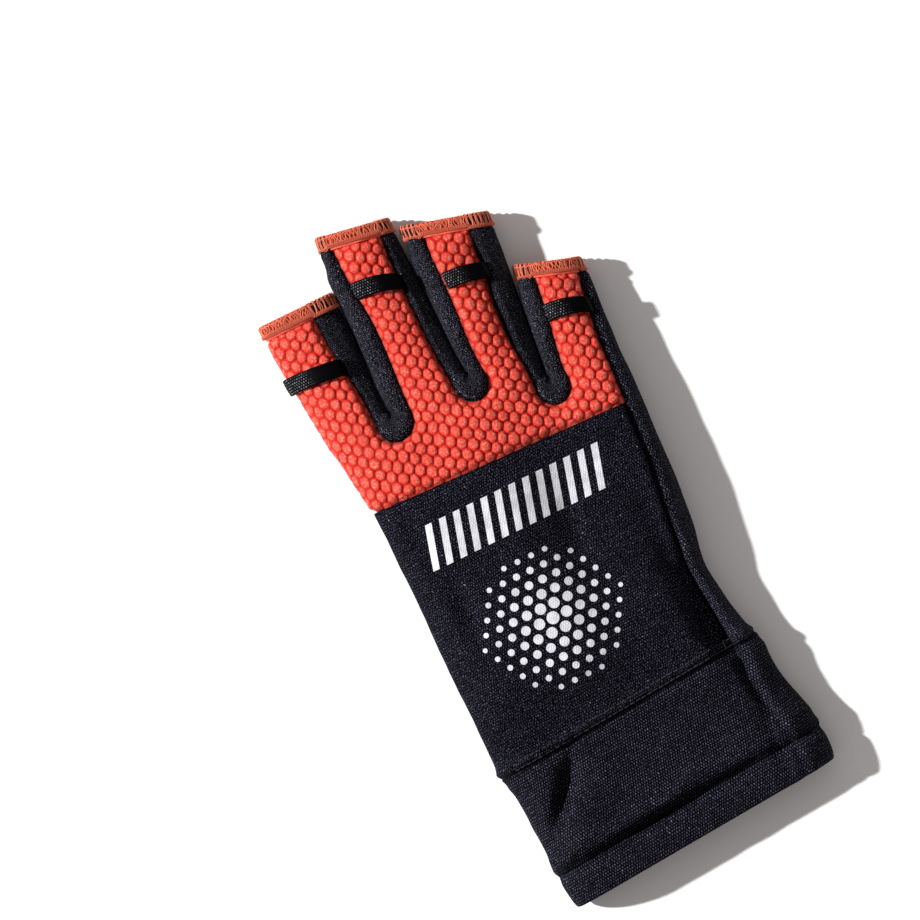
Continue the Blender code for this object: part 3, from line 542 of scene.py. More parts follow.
def under_cloth(parameters):
    """Palm cloth from its flat pattern (X, Y). It comes up over the little-finger side."""
    pattern_x, y = parameters[:, 0], parameters[:, 1]
    distance = under_pattern_edge(y) - pattern_x
    inset, over = wrapped(distance, LOWER_RIM, (LOWER_ANGLES, LOWER_ARCS),
                          (rim_width(y), UPPER_ANGLES, UPPER_ARCS))
    x = little_side_x(y) - inset
    return np.stack([x, y, skin(x, y, np.where(over, TOP, UNDER))], axis=1)


# Seam lines

def mouth_line(x):
    return CUFF_SLANT * x


def wrist_line(x):
    return CUFF_LENGTH + CUFF_SLANT * x


def knuckle_line(x):
    return CUFF_LENGTH + BACK_LENGTH + KNUCKLE_SLANT * x


def stall_edges(stall, y):
    """X of the silhouette on the two sides of a stall."""
    i = STALLS.index(stall)
    left = thumb_side_x(y)
    right = little_side_x(y)
    if i > 0:
        left = slot_x(SLOT_NAMES[i - 1], y) + slot_gap(SLOT_NAMES[i - 1], y)
    if i < len(STALLS) - 1:
        right = slot_x(SLOT_NAMES[i], y) - slot_gap(SLOT_NAMES[i], y)
    return left, right


def top_edges(stall, y):
    """X of a stall's coral top: from its seam, or the thumb-side silhouette, to its other seam."""
    i = STALLS.index(stall)
    left, right = stall_edges(stall, y)
    if i > 0:
        left = left + seam_width(SLOT_NAMES[i - 1], y, True)
    if i == len(STALLS) - 1:
        return left, right - side_seam_inset(y)
    return left, right - seam_width(SLOT_NAMES[i], y, False)


def tip_line(stall, x):
    """Y of a stall's open end."""
    thumb_y, little_y = y_of(TIPS[stall][0]), y_of(TIPS[stall][1])
    left, right = stall_edges(stall, thumb_y)[0], stall_edges(stall, little_y)[1]
    share = np.clip((x - left) / (right - left), 0, 1)
    return thumb_y + (little_y - thumb_y) * share


def cloth_end(stall, x):
    """Y where the stall's cloth meets its edge binding."""
    return tip_line(stall, x) - BINDING_DEPTH - SEAM_GAP


def radial_seam_x(y):
    """Pattern X, on the top cloth, of the seam under the thumb side."""
    angle = oval_angle(RADIAL_SEAM_INSET - SEAM_GAP / 2, LOWER_RIM)
    return top_pattern_edge(y) - LOWER_RIM * np.interp(angle, LOWER_ANGLES, LOWER_ARCS)


def radial_seam_plan_x(y):
    """X of the same seam in plan."""
    return thumb_side_x(y) + RADIAL_SEAM_INSET - SEAM_GAP / 2


def top_seam_x(y):
    """X of the top cloth's edge along the little-finger side."""
    return little_side_x(y) - side_seam_inset(y) - SEAM_GAP / 2


def under_seam_plan_x(y):
    """X in plan of the palm cloth's edge along the same side."""
    return little_side_x(y) - side_seam_inset(y) + SEAM_GAP / 2


def side_seam_pattern_x(y):
    """Pattern X, on the palm cloth, of the seam over the little-finger side."""
    angle = oval_angle(side_seam_inset(y) - SEAM_GAP / 2, rim_width(y))
    return under_pattern_edge(y) + rim_width(y) * np.interp(angle, UPPER_ANGLES, UPPER_ARCS)


def slot_stations(side_steps, end_steps):
    """Stations down a slot's thumb side, round its closed end and up its little-finger side."""
    return np.concatenate([np.linspace(0, 1, side_steps + 1),
                           np.linspace(1, 2, end_steps + 1)[1:],
                           np.linspace(2, 3, side_steps + 1)[1:]])


def slot_path(slot, stalls, stations, inset):
    """Points at a distance in from a slot's silhouette at stations 0 to 1 down its thumb side, 1
    to 2 round its closed end and 2 to 3 up its little-finger side. The ends follow the stalls'
    slanting ends."""
    end_y = slot_end_y(slot)
    turn = math.pi * (1 + np.clip(stations - 1, 0, 1))
    direction = np.stack([np.cos(turn), np.sin(turn)], 1)
    x = slot_x(slot, end_y) + direction[:, 0] * inset
    for _ in range(6):
        first, last = (cloth_end(stall, x) for stall in stalls)
        y = np.where(stations < 1, first + (end_y - first) * stations,
                     np.where(stations > 2, end_y + (last - end_y) * (stations - 2), end_y))
        x = slot_x(slot, y) + direction[:, 0] * (slot_gap(slot, y) + inset)
    return np.stack([x, y + direction[:, 1] * (slot_gap(slot, y) + inset)], 1), direction, y


def slot_seam_inset(slot, stalls, stations, top_side):
    """How far in from the slot's silhouette the fourchette's seam runs."""
    if not top_side:
        return np.full_like(stations, UNDER_SEAM_INSET)
    _, direction, y = slot_path(slot, stalls, stations, FOURCHETTE_WIDTH)
    thumb_width, little_width = (seam_width(slot, y, little) for little in (False, True))
    width = np.where(stations < 1.5, thumb_width, little_width)
    return width + (CROTCH_DEPTH - width) * direction[:, 1] ** 2


def notch(slot, stalls, top_side, spacing):
    """Outline of the notch that a cloth has for a fourchette, from the thumb side round."""
    stations = slot_stations(round(60 * MM / spacing), round(22 * MM / spacing))
    inset = slot_seam_inset(slot, stalls, stations, top_side) + SEAM_GAP / 2
    return slot_path(slot, stalls, stations, inset)[0]


def across_line(line, start_x, end_x, spacing, cloth=None):
    """Points from start_x to end_x along a line, without its two ends. The line is in plan, so on
    a cloth's flat pattern each point moves to where the cloth crosses it."""
    x = np.linspace(start_x, end_x, max(2, round(abs(end_x - start_x) / spacing)) + 1)[1:-1]
    y = line(x)
    if cloth is not None:
        for _ in range(6):
            y = line(cloth(np.stack([x, y], 1))[:, 0])
    return np.stack([x, y], 1)


def meeting_y(line, x_of, start_y):
    """Y where a line in plan meets a curve that gives X at each Y."""
    y = float(start_y)
    for _ in range(12):
        y = float(line(x_of(y)))
    return y


def up_line(x_of, start_y, end_y, spacing):
    """Points from start_y to end_y along a curve that gives X at each Y."""
    y = np.linspace(start_y, end_y, max(2, round(abs(end_y - start_y) / spacing)) + 1)
    return np.stack([x_of(y), y], 1)


def fingers_outline(left_line, right_line, top_side, spacing):
    """The open outline of a cloth with four stalls, from its lower left round to lower right."""
    cloth = top_cloth if top_side else under_cloth
    parts = [left_line]
    last = left_line[-1]
    for i, slot in enumerate(SLOT_NAMES):
        cut = notch(slot, STALLS[i:i + 2], top_side, spacing)
        parts.append(across_line(lambda x: cloth_end(STALLS[i], x), last[0], cut[0, 0],
                                 spacing, cloth))
        parts.append(cut)
        last = cut[-1]
    parts.append(across_line(lambda x: cloth_end(STALLS[-1], x), last[0], right_line[0, 0],
                             spacing, cloth))
    parts.append(right_line)
    return np.concatenate(parts)


# Meshing

def inside(points, outline):
    """Which points are inside a closed outline."""
    x, y = points[:, :1], points[:, 1:]
    start, end = outline, np.roll(outline, -1, axis=0)
    crosses = (start[:, 1] > y) != (end[:, 1] > y)
    rise = np.where(end[:, 1] == start[:, 1], 1.0, end[:, 1] - start[:, 1])
    at = start[:, 0] + (y - start[:, 1]) * (end[:, 0] - start[:, 0]) / rise
    return (crosses & (x < at)).sum(axis=1) % 2 == 1


def lattice(low, high, spacing):
    """Evenly spread points, in rows along Y, with one of them at the pattern's origin."""
    wide = spacing * math.sqrt(3) / 2
    columns = np.arange(math.floor(low[0] / wide), math.ceil(high[0] / wide) + 1)
    rows = np.arange(math.floor(low[1] / spacing) - 1, math.ceil(high[1] / spacing) + 1)
    c, r = np.meshgrid(columns, rows)
    return np.stack([c.ravel() * wide, (r.ravel() + 0.5 * (c.ravel() % 2)) * spacing], 1)


def nearness(loops):
    """A tree of the loops' points, to measure how far other points are from them."""
    points = np.concatenate(loops)
    tree = KDTree(len(points))
    for i, (x, y) in enumerate(points):
        tree.insert((x, y, 0), i)
    tree.balance()
    return tree


def tree_distance(tree, points):
    """How far each point is from the nearest one in the tree."""
    return np.array([tree.find((x, y, 0))[2] for x, y in points])


def filled(loops, spacing):
    """Points and triangles that fill the first loop and leave the others open. The loops' own
    points come first and in order."""
    outline = loops[0]
    tree = nearness(loops)
    points = lattice(outline.min(axis=0), outline.max(axis=0), spacing)
    points = points[tree_distance(tree, points) > 0.6 * spacing]
    edges, first = [], 0
    for loop in loops:
        count = len(loop)
        edges += [(first + i, first + (i + 1) % count) for i in range(count)]
        first += count
    given = np.concatenate([*loops, points])
    found, _, faces, *_ = delaunay_2d_cdt([Vector(p) for p in given], edges, [], 1, 1e-9)
    found = np.array([tuple(p) for p in found])
    faces = np.array([f for f in faces if len(f) == 3])
    for hole in loops[1:]:
        faces = faces[~inside(found[faces].mean(axis=1), hole)]
    used = np.unique(np.concatenate([faces.ravel(), np.arange(first)]))
    place = np.zeros(len(found), int)
    place[used] = np.arange(len(used))
    return found[used], place[faces], tree


def on_surface(surface, parameters, outward):
    """Points of a surface and its unit normals on the outward side."""
    points = surface(parameters)
    steps = np.eye(2) * PARAMETER_STEP
    first, second = (surface(parameters + s) - surface(parameters - s) for s in steps)
    normals = np.cross(first, second)
    length = np.linalg.norm(normals, axis=1, keepdims=True)
    flat = length[:, 0] < 1e-4 * np.median(length)
    normals = np.where(flat[:, None], outward, normals / np.maximum(length, 1e-30))
    return points, normals * np.sign((normals * outward).sum(axis=1).sum())


def link(obj):
    bpy.context.scene.collection.objects.link(obj)


def new_piece(name, points, faces, material, uv, detail=()):
    """A mesh object in the frame's place. UVs are the flat pattern in millimetres, and detail
    holds up to three masks from 0 to 1 that its material reads."""
    points = np.array(points, float) + SHIFT
    points[:, 2] = np.maximum(points[:, 2], 0)
    mesh = bpy.data.meshes.new(name)
    mesh.from_pydata(points.tolist(), [], faces if isinstance(faces, list) else faces.tolist())
    mesh.update()
    layer = mesh.uv_layers.new(name="pattern")
    index = np.empty(len(mesh.loops), np.int32)
    mesh.loops.foreach_get("vertex_index", index)
    layer.data.foreach_set("uv", (np.asarray(uv)[index] / MM).astype(np.float32).ravel())
    colours = np.zeros((len(points), 4), np.float32)
    colours[:, 3] = 1
    for i, values in enumerate(detail):
        colours[:, i] = values
    attribute = mesh.color_attributes.new("detail", "FLOAT_COLOR", "POINT")
    attribute.data.foreach_set("color", colours.ravel())
    mesh.shade_smooth()
    mesh.materials.append(material)
    obj = bpy.data.objects.new(name, mesh)
    link(obj)
    return obj


def finished(obj, slot, *nodes):
    """The piece rides on the glove's one body and stands for its CAD nodes."""
    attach(obj, "root")
    if nodes:
        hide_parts(*nodes)


def turned_over(faces, points, normals):
    """Whether the faces' fronts point against the normals."""
    first, second, last = (points[faces[:, i]] for i in (0, 1, -1))
    across = np.cross(second - first, last - first)
    return (across * normals[faces[:, 0]]).sum() < 0


def walled(faces, count):
    """Outer faces, the same on the inner side, whose points come `count` later, and walls that
    join the two along open edges."""
    solid = faces + [[i + count for i in reversed(f)] for f in faces]
    edges = {(a, b) for f in faces for a, b in zip(f, f[1:] + f[:1])}
    return solid + [[b, a, a + count, b + count] for a, b in edges if (b, a) not in edges]


def cloth_sheet(name, loops, spacing, surface, outward, thick, relief, material):
    """A cloth wall inside flat pattern loops. Its outer side is fine and carries the relief, its
    inner side is plain, and its edges join the two."""
    parameters, faces, tree = filled(loops, spacing)
    points, normals = on_surface(surface, parameters, outward)
    edge = tree_distance(tree, parameters)
    height, masks = relief(parameters, points, edge)
    outer = points + normals * height[:, None]
    inner_parameters, inner_faces, _ = filled(loops, INNER_SPACING)
    inner, inner_normals = on_surface(surface, inner_parameters, outward)
    inner_height, _ = relief(inner_parameters, inner, tree_distance(tree, inner_parameters))
    inner = inner + inner_normals * (inner_height - thick)[:, None]
    if turned_over(faces, outer, normals):
        faces, inner_faces = faces[:, ::-1], inner_faces[:, ::-1]
    count = len(outer)
    solid = faces.tolist() + (inner_faces[:, ::-1] + count).tolist()
    ends = {(a, b) for f in faces.tolist() for a, b in zip(f, f[1:] + f[:1])}
    first = 0
    for loop in loops:
        for i in range(len(loop)):
            a, b = first + i, first + (i + 1) % len(loop)
            if (b, a) in ends:
                a, b = b, a
            solid.append([b, a, a + count, b + count])
        first += len(loop)
    plain = [np.concatenate([m, np.full(len(inner), m.mean())]) for m in masks]
    uv = np.concatenate([parameters, inner_parameters])
    obj = new_piece(name, np.concatenate([outer, inner]), solid, material, uv, plain)
    obj.data.set_sharp_from_angle(angle=CLOTH_CREASE)
    return obj


def closed_grid(rows, columns, wrap_rows):
    """Quads of a tube whose columns close, and whose rows close too if asked."""
    r, c = np.meshgrid(np.arange(rows if wrap_rows else rows - 1), np.arange(columns),
                       indexing="ij")
    up, across = (r + 1) % rows, (c + 1) % columns
    return np.stack([r * columns + c, r * columns + across, up * columns + across,
                     up * columns + c], -1).reshape(-1, 4)


def open_grid(rows, columns):
    """Quads of a sheet of rows and columns of points."""
    r, c = np.meshgrid(np.arange(rows - 1), np.arange(columns - 1), indexing="ij")
    return np.stack([r * columns + c, r * columns + c + 1, (r + 1) * columns + c + 1,
                     (r + 1) * columns + c], -1).reshape(-1, 4)


def tubes(paths, normals, radius):
    """Round threads along paths (count, points, 3), with a normal of the cloth at each point: the
    threads' points, faces, UVs and a number for each thread."""
    count, steps, _ = paths.shape
    along = np.gradient(paths, axis=1)
    along /= np.maximum(np.linalg.norm(along, axis=2, keepdims=True), 1e-12)
    aside = np.cross(along, normals)
    aside /= np.maximum(np.linalg.norm(aside, axis=2, keepdims=True), 1e-12)
    up = np.cross(aside, along)
    sides = THREAD_SIDES
    turn = np.linspace(0, 2 * math.pi, sides, endpoint=False)
    rings = (paths[:, :, None]
             + radius * (np.cos(turn)[:, None] * aside[:, :, None]
                         + np.sin(turn)[:, None] * up[:, :, None]))
    one = closed_grid(steps, sides, False)
    caps = [list(range(sides))[::-1], [(steps - 1) * sides + i for i in range(sides)]]
    size = steps * sides
    faces = (one[None] + np.arange(count)[:, None, None] * size).reshape(-1, 4).tolist()
    for i in range(count):
        faces += [[corner + i * size for corner in cap] for cap in caps]
    length = np.cumsum(np.linalg.norm(np.diff(paths, axis=1, prepend=paths[:, :1]), axis=2), 1)
    uv = np.stack([np.repeat(length[:, :, None], sides, 2),
                   np.broadcast_to(turn / (2 * math.pi) * MM, (count, steps, sides))], -1)
    shade = np.repeat(np.modf(np.sin(np.arange(count) * 12.9898) * 43758.5)[0] % 1.0, size)
    return rings.reshape(-1, 3), faces, uv.reshape(-1, 2), shade


def thread_piece(name, parts, material, slot):
    """One piece of all the threads that several calls of tubes gave."""
    faces, first = [], 0
    for points, own_faces, _, _ in parts:
        faces += [[corner + first for corner in face] for face in own_faces]
        first += len(points)
    points, uv, shade = (np.concatenate([part[i] for part in parts]) for i in (0, 2, 3))
    finished(new_piece(name, points, faces, material, uv, [shade]), slot)


# Materials

# Black of the knit's pits and seams: painted shade
KNIT_PIT_AND_SEAM_SHADE = (0.0003, 0.0002, 0.0009)
# Valley, slope and seam colours of the coral: painted shade
CORAL_VALLEY_SHADE = (0.52, 0.003, 0.001)
CORAL_SLOPE_SHADE = (0.75, 0.030, 0.013)
CORAL_CROWN = (0.88, 0.076, 0.040)
# Pale pink of the coral's crowns: painted highlight, with a little wear
CORAL_WEAR_AND_PAINTED_HIGHLIGHT = (1.0, 0.400, 0.310)
CORAL_CLOUD = (0.56, 0.026, 0.013)
CORAL_PIT = (0.42, 0.012, 0.006)
CORAL_SEAM_SHADE = (0.13, 0.006, 0.005)
BOUND_BLACK = ((0.004, 0.004, 0.006), (0.035, 0.038, 0.05))
# Darker red under the stitches: painted shade between the threads
BOUND_CORAL_SHADE = ((0.24, 0.008, 0.003), (0.52, 0.036, 0.014))
BOUND_CORAL = ((0.70, 0.036, 0.017), (0.98, 0.19, 0.13))
ELASTIC_BLACK = (0.0010, 0.0010, 0.0016)
# Pale grey of the elastic's stitch peaks: painted glint
ELASTIC_PAINTED_GLINT = (0.36, 0.37, 0.41)
PRINT_PALE = (0.72, 0.72, 0.76)
PRINT_GREY = (0.54, 0.54, 0.58)
PRINT_PIT = (0.36, 0.36, 0.40)
PRINT_CRACK = (0.10, 0.10, 0.12)
FLOOR_TONES = ((0.93, 0.93, 0.93), (0.95, 0.95, 0.95))
SEPARATE_COLOUR = "ShaderNodeSeparateColor"


class Value:
    """What a node gives. Arithmetic on it adds nodes that work it out."""

    def __init__(self, nodes, socket):
        self.nodes = nodes
        self.socket = socket

    def __add__(self, other):
        return self.nodes.math("ADD", self, other)

    def __sub__(self, other):
        return self.nodes.math("SUBTRACT", self, other)

    def __rsub__(self, other):
        return self.nodes.math("SUBTRACT", other, self)

    def __mul__(self, other):
        return self.nodes.math("MULTIPLY", self, other)

    def __truediv__(self, other):
        return self.nodes.math("DIVIDE", self, other)

    def __pow__(self, other):
        return self.nodes.math("POWER", self, other)

    def __abs__(self):
        return self.nodes.math("ABSOLUTE", self)

    def floor(self):
        return self.nodes.math("FLOOR", self)

    def clamped(self):
        return self.nodes.math("ADD", self, 0.0, clamp=True)


class Nodes:
    """Short ways to add and join the nodes of one material."""

    def __init__(self, name):
        self.material = bpy.data.materials.new(name)
        self.material.use_nodes = True
        self.tree = self.material.node_tree

    def put(self, socket, value):
        if isinstance(value, Value):
            self.tree.links.new(value.socket, socket)
        else:
            socket.default_value = value

    def add(self, kind, inputs, **settings):
        """A node with its settings and its named or numbered inputs."""
        node = self.tree.nodes.new(kind)
        for key, value in settings.items():
            setattr(node, key, value)
        for key, value in inputs.items():
            self.put(node.inputs[key], value)
        return node

    def value(self, output, kind, inputs, **settings):
        return Value(self, self.add(kind, inputs, **settings).outputs[output])

    def math(self, operation, *values, clamp=False):
        return self.value(0, "ShaderNodeMath", dict(enumerate(values)), operation=operation,
                          use_clamp=clamp)

    def mix(self, share, first, second):
        node = self.add("ShaderNodeMix", {"Factor": share}, data_type="RGBA")
        for name, value in (("A", first), ("B", second)):
            socket = [s for s in node.inputs if s.name == name and s.type == "RGBA"][0]
            self.put(socket, value if isinstance(value, Value) else (*value, 1))
        return Value(self, [s for s in node.outputs if s.type == "RGBA"][0])

    def coats(self, colour, *coats):
        """A colour with coats over it, each of them a share and its colour."""
        for share, coat in coats:
            colour = self.mix(share, colour, coat)
        return colour

    def smooth(self, value, low, high):
        return self.value(0, "ShaderNodeMapRange",
                          {"Value": value, "From Min": low, "From Max": high},
                          interpolation_type="SMOOTHSTEP")

    def noise(self, vector, scale, detail=2.0, output="Fac"):
        return self.value(output, "ShaderNodeTexNoise",
                          {"Vector": vector, "Scale": scale, "Detail": detail})

    def split(self, value, kind="ShaderNodeSeparateXYZ"):
        return [Value(self, socket) for socket in self.add(kind, {0: value}).outputs[:3]]

    def pattern(self):
        """The flat pattern's place in millimetres."""
        return self.value(0, "ShaderNodeUVMap", {}, uv_map="pattern")

    def masks(self):
        return self.split(self.value("Color", "ShaderNodeAttribute", {},
                                     attribute_name="detail"), SEPARATE_COLOUR)

    def bump(self, height, distance, strength):
        return self.value(0, "ShaderNodeBump",
                          {"Height": height, "Distance": distance, "Strength": strength})

    def shaded(self, **inputs):
        """The material, with its shader's inputs set."""
        shader = self.tree.nodes["Principled BSDF"]
        for name, value in inputs.items():
            self.put(shader.inputs[SHADER_INPUTS[name]], value)
        return self.material


SHADER_INPUTS = {"colour": "Base Color", "roughness": "Roughness", "normal": "Normal",
                 "specular": "Specular IOR Level", "sheen": "Sheen Weight"}


def stitches(nodes, vector, across, along, wander):
    """Height of rows of slanting stitches with pits between, and a number for each stitch."""
    drift = nodes.split(nodes.noise(vector, 0.55, output="Color"), SEPARATE_COLOUR)
    x, y = (place + (shift * (4 * wander) - 2 * wander)
            for place, shift in zip(nodes.split(vector)[:2], drift))
    row = (y / along).floor()
    odd = nodes.math("FLOORED_MODULO", row, 2.0)
    x = x + odd * (across / 2)
    cell = (x / across).floor()
    in_y = y / along - row - 0.5
    in_x = x / across - cell - 0.5 + in_y * (odd * 0.6 - 0.3)
    height = 1.0 - ((abs(in_x) * 2.9) ** 2.0 + (abs(in_y) * 2.2) ** 2.6)
    place = nodes.value(0, "ShaderNodeCombineXYZ", {0: cell, 1: row})
    number = nodes.value("Value", "ShaderNodeTexWhiteNoise", {"Vector": place},
                         noise_dimensions="2D")
    return height.clamped(), number


def knit_material(name, across, along, wander, light, painted_glint_colour, painted_glint_share):
    """Matt black knit: fine stitches in rows round black pits, the pits' black painted shade, with
    painted shade at its seams and painted glints on a few stitches.
    """
    nodes = Nodes(name)
    vector = nodes.pattern()
    seam = nodes.masks()[1]
    height, stitch = stitches(nodes, vector, across, along, wander)
    cloudy, fibre = nodes.noise(vector, 0.07, 3.0), nodes.noise(vector, 1.55, 3.0)
    worms = nodes.smooth(fibre, 0.40, 0.62)
    lit = nodes.smooth(height, 0.05, 0.9) * (stitch * 0.7 + 0.45) * (worms * 0.95 + 0.30)
    lit = (lit * (cloudy * 1.1 + 0.45)).clamped()
    # Painted glints: a few stitch tops are coloured as if catching the light
    bright = nodes.smooth(stitch, 1 - painted_glint_share, 1.0) * nodes.smooth(height, 0.5, 0.95) * worms
    # Painted shade: the knit darkens towards its seams, where the cloth dives into creases
    sunk = nodes.smooth(seam, 0.2, 1.0) * 0.6
    colour = nodes.coats(KNIT_PIT_AND_SEAM_SHADE, (lit, light), (bright, painted_glint_colour), (sunk, KNIT_PIT_AND_SEAM_SHADE))
    return nodes.shaded(colour=colour, roughness=fibre * -0.2 + 0.85, specular=0.03,
                        normal=nodes.bump(height + fibre * 0.9, 0.26 * MM, 0.8))


def coral_material():
    """Honeycomb cloth: bright crowns with painted highlights and some wear, deeper red valleys and
    slopes that are painted shade between the domes, seams darkened as painted shade, and a fine
    knit over both.
    """
    nodes = Nodes("coral_cloth")
    vector = nodes.pattern()
    crown, seam, _ = nodes.masks()
    height, stitch = stitches(nodes, vector, 0.62, 0.5, 0.12)
    cloudy, speckle = nodes.noise(vector, 0.16, 3.0), nodes.noise(vector, 1.35, 4.0)
    # Pale pink on the crowns' speckles: painted highlight, with a little wear
    wear_and_painted_highlight = nodes.smooth(speckle, 0.46, 0.66) * nodes.smooth(crown, 0.35, 0.95)
    # Valleys and slopes darker than the crowns: painted shade between the domes; the seam coat is
    # painted shade in the trenches
    colour = nodes.coats(
        CORAL_VALLEY_SHADE, (nodes.smooth(crown, 0.0, 0.55), CORAL_SLOPE_SHADE),
        (nodes.smooth(crown, 0.5, 1.0), CORAL_CROWN), (wear_and_painted_highlight * 0.70, CORAL_WEAR_AND_PAINTED_HIGHLIGHT),
        (nodes.smooth(cloudy, 0.35, 0.75) * 0.35, CORAL_CLOUD),
        ((1.0 - height) * 0.16, CORAL_PIT), (seam * 0.6, CORAL_SEAM_SHADE))
    return nodes.shaded(colour=colour, roughness=stitch * 0.12 + 0.40, specular=0.28,
                        normal=nodes.bump(height + speckle * 1.9, 0.26 * MM, 1.0))


def thread_material(name, deep, pale, roughness):
    """Twisted sewing thread, its plies slanting round it."""
    nodes = Nodes(name)
    vector, strand = nodes.pattern(), nodes.masks()[0]
    x, y, _ = nodes.split(vector)
    plies = nodes.math("COSINE", (x + y * 0.45) * (2 * math.pi / 0.45)) * 0.5 + 0.5
    fuzz = nodes.noise(vector, 3.5, 3.0)
    share = (plies * 0.5 + strand * 0.35 + (fuzz * 0.5 - 0.2)).clamped()
    return nodes.shaded(colour=nodes.mix(share, deep, pale), roughness=fuzz * 0.2 + (
        roughness - 0.1), sheen=0.1, normal=nodes.bump(plies, 0.07 * MM, 0.9))


def binding_material():
    """Cloth under the overlocking: coral over the honeycomb, black over the rest. Among the
    stitches the coral is darkened to red as painted shade between the threads; below them it is as
    bright as the panel's."""
    nodes = Nodes("bound_edge")
    vector = nodes.pattern()
    coral, below, _ = nodes.masks()
    height, stitch = stitches(nodes, vector, 0.7, 0.6, 0.1)
    black = nodes.mix(height * stitch, *BOUND_BLACK)
    bright = nodes.mix(nodes.noise(vector, 1.35, 4.0), *BOUND_CORAL)
    # Painted shade: the coral among the stitches is a darker red
    orange = nodes.mix(below, nodes.mix(height, *BOUND_CORAL_SHADE), bright)
    edge = coral + (nodes.noise(vector, 1.2) * 0.3 - 0.15)
    return nodes.shaded(colour=nodes.mix(nodes.smooth(edge, 0.42, 0.58), black, orange),
                        roughness=stitch * 0.1 + 0.8, specular=0.25,
                        normal=nodes.bump(height, 0.15 * MM, 0.8))


def elastic_material():
    """Black braid with painted glints on its stitches where its band faces the lamp."""
    nodes = Nodes("braided_elastic")
    vector, lit = nodes.pattern(), nodes.masks()[1]
    fuzz = nodes.noise(vector, 3.0, 3.0)
    height, stitch = stitches(nodes, vector, 0.80, 0.92, 0.05)
    # Painted glints on the stitch tops, strongest where the lit mask is
    painted_glint = nodes.smooth(height, 0.62, 0.95) * nodes.smooth(lit, 0.4, 1.0)
    uneven = nodes.smooth(nodes.noise(vector, 0.9), 0.35, 0.65)
    share = painted_glint * (stitch * 0.9 + 0.1) * (uneven * 0.8 + 0.3)
    return nodes.shaded(colour=nodes.mix(share, ELASTIC_BLACK, ELASTIC_PAINTED_GLINT),
                        roughness=fuzz * 0.25 + 0.42, specular=0.025,
                        normal=nodes.bump(fuzz + height * lit, 0.10 * MM, 0.7))


def print_material():
    """Pale print on the knit, thin enough to show its stitches and a little rubbed."""
    nodes = Nodes("silver_print")
    vector = nodes.pattern()
    height, stitch = stitches(nodes, vector, 0.95, 0.8, 0.3)
    cloudy, fine = nodes.noise(vector, 0.3, 4.0), nodes.noise(vector, 2.2, 3.0)
    cracks = nodes.smooth(fine, 0.66, 0.76) * nodes.smooth(stitch, 0.6, 1.0)
    colour = nodes.coats(PRINT_PALE, (nodes.smooth(cloudy, 0.3, 0.7), PRINT_GREY),
                         ((1.0 - height) * 0.22, PRINT_PIT), (cracks * 0.8, PRINT_CRACK))
    return nodes.shaded(colour=colour, roughness=fine * 0.25 + 0.42,
                        normal=nodes.bump(height, 0.10 * MM, 0.7))


def floor_material():
    nodes = Nodes("pale_floor")
    place = nodes.value("Object", "ShaderNodeTexCoord", {})
    return nodes.shaded(colour=nodes.mix(nodes.noise(place, 9.0, 4.0), *FLOOR_TONES),
                        roughness=0.9, specular=0.1)


# Surface detail

def ripples(x, y, seed, size):
    """Soft uneven waves from -1 to 1, the size of small wrinkles."""
    random = np.random.RandomState(seed)
    total = 0.0
    for _ in range(7):
        turn, phase = random.uniform(0, 2 * math.pi, 2)
        wave = 2 * math.pi / (size * random.uniform(0.7, 1.6))
        total += np.sin((x * math.cos(turn) + y * math.sin(turn)) * wave + phase)
    return total / 4.5


def honeycomb(x, y):
    """0 in the valleys and 1 on the crowns of the domes, and a number for each dome."""
    step_x = DOME_PITCH * math.sqrt(3)
    x = x * step_x / 2 / DOME_COLUMN
    best = None
    for shift in (0.0, 0.5):
        cx = (np.round(x / step_x - shift) + shift) * step_x
        cy = (np.round(y / DOME_PITCH - shift) + shift) * DOME_PITCH
        gap = np.hypot(x - cx, y - cy)
        if best is None:
            best = [gap, cx, cy]
        else:
            nearer = gap < best[0]
            best = [np.where(nearer, new, old) for new, old in zip((gap, cx, cy), best)]
    _, cx, cy = best
    power = 0.0
    for k in range(3):
        turn = math.pi / 3 * (k + 0.5)
        reach = np.abs((x - cx) * math.cos(turn) + (y - cy) * math.sin(turn)) / (DOME_PITCH / 2)
        power += reach**7
    q = np.clip(power ** (1 / 7), 0, 1)
    number = np.modf(np.abs(np.sin(cx / MM * 12.9898 + cy / MM * 78.233) * 43758.5453))[0]
    return (1 - q**4.2) ** 0.9, number


def stall_tilt(x, y):
    """Lean of each stall's top, which rises at its thumb side and falls to its other side."""
    total = 0.0
    for stall, lean in STALL_LEANS.items():
        left, right = stall_edges(stall, y)
        share = (x - left) / (right - left)
        start = max(slot_end_y(slot) for slot in SLOT_NAMES if slot.split("_")[0] == stall
                    or slot.split("_")[1] == stall)
        along = smooth_step(y, start - 9 * MM, start + 8 * MM)
        along = along * smooth_step(cloth_end(stall, x) - y, 0, 9 * MM)
        within = (share > 0) & (share < 1)
        total += lean * (0.40 - np.clip(share, 0, 1)) * (right - left) * along * within
    return total


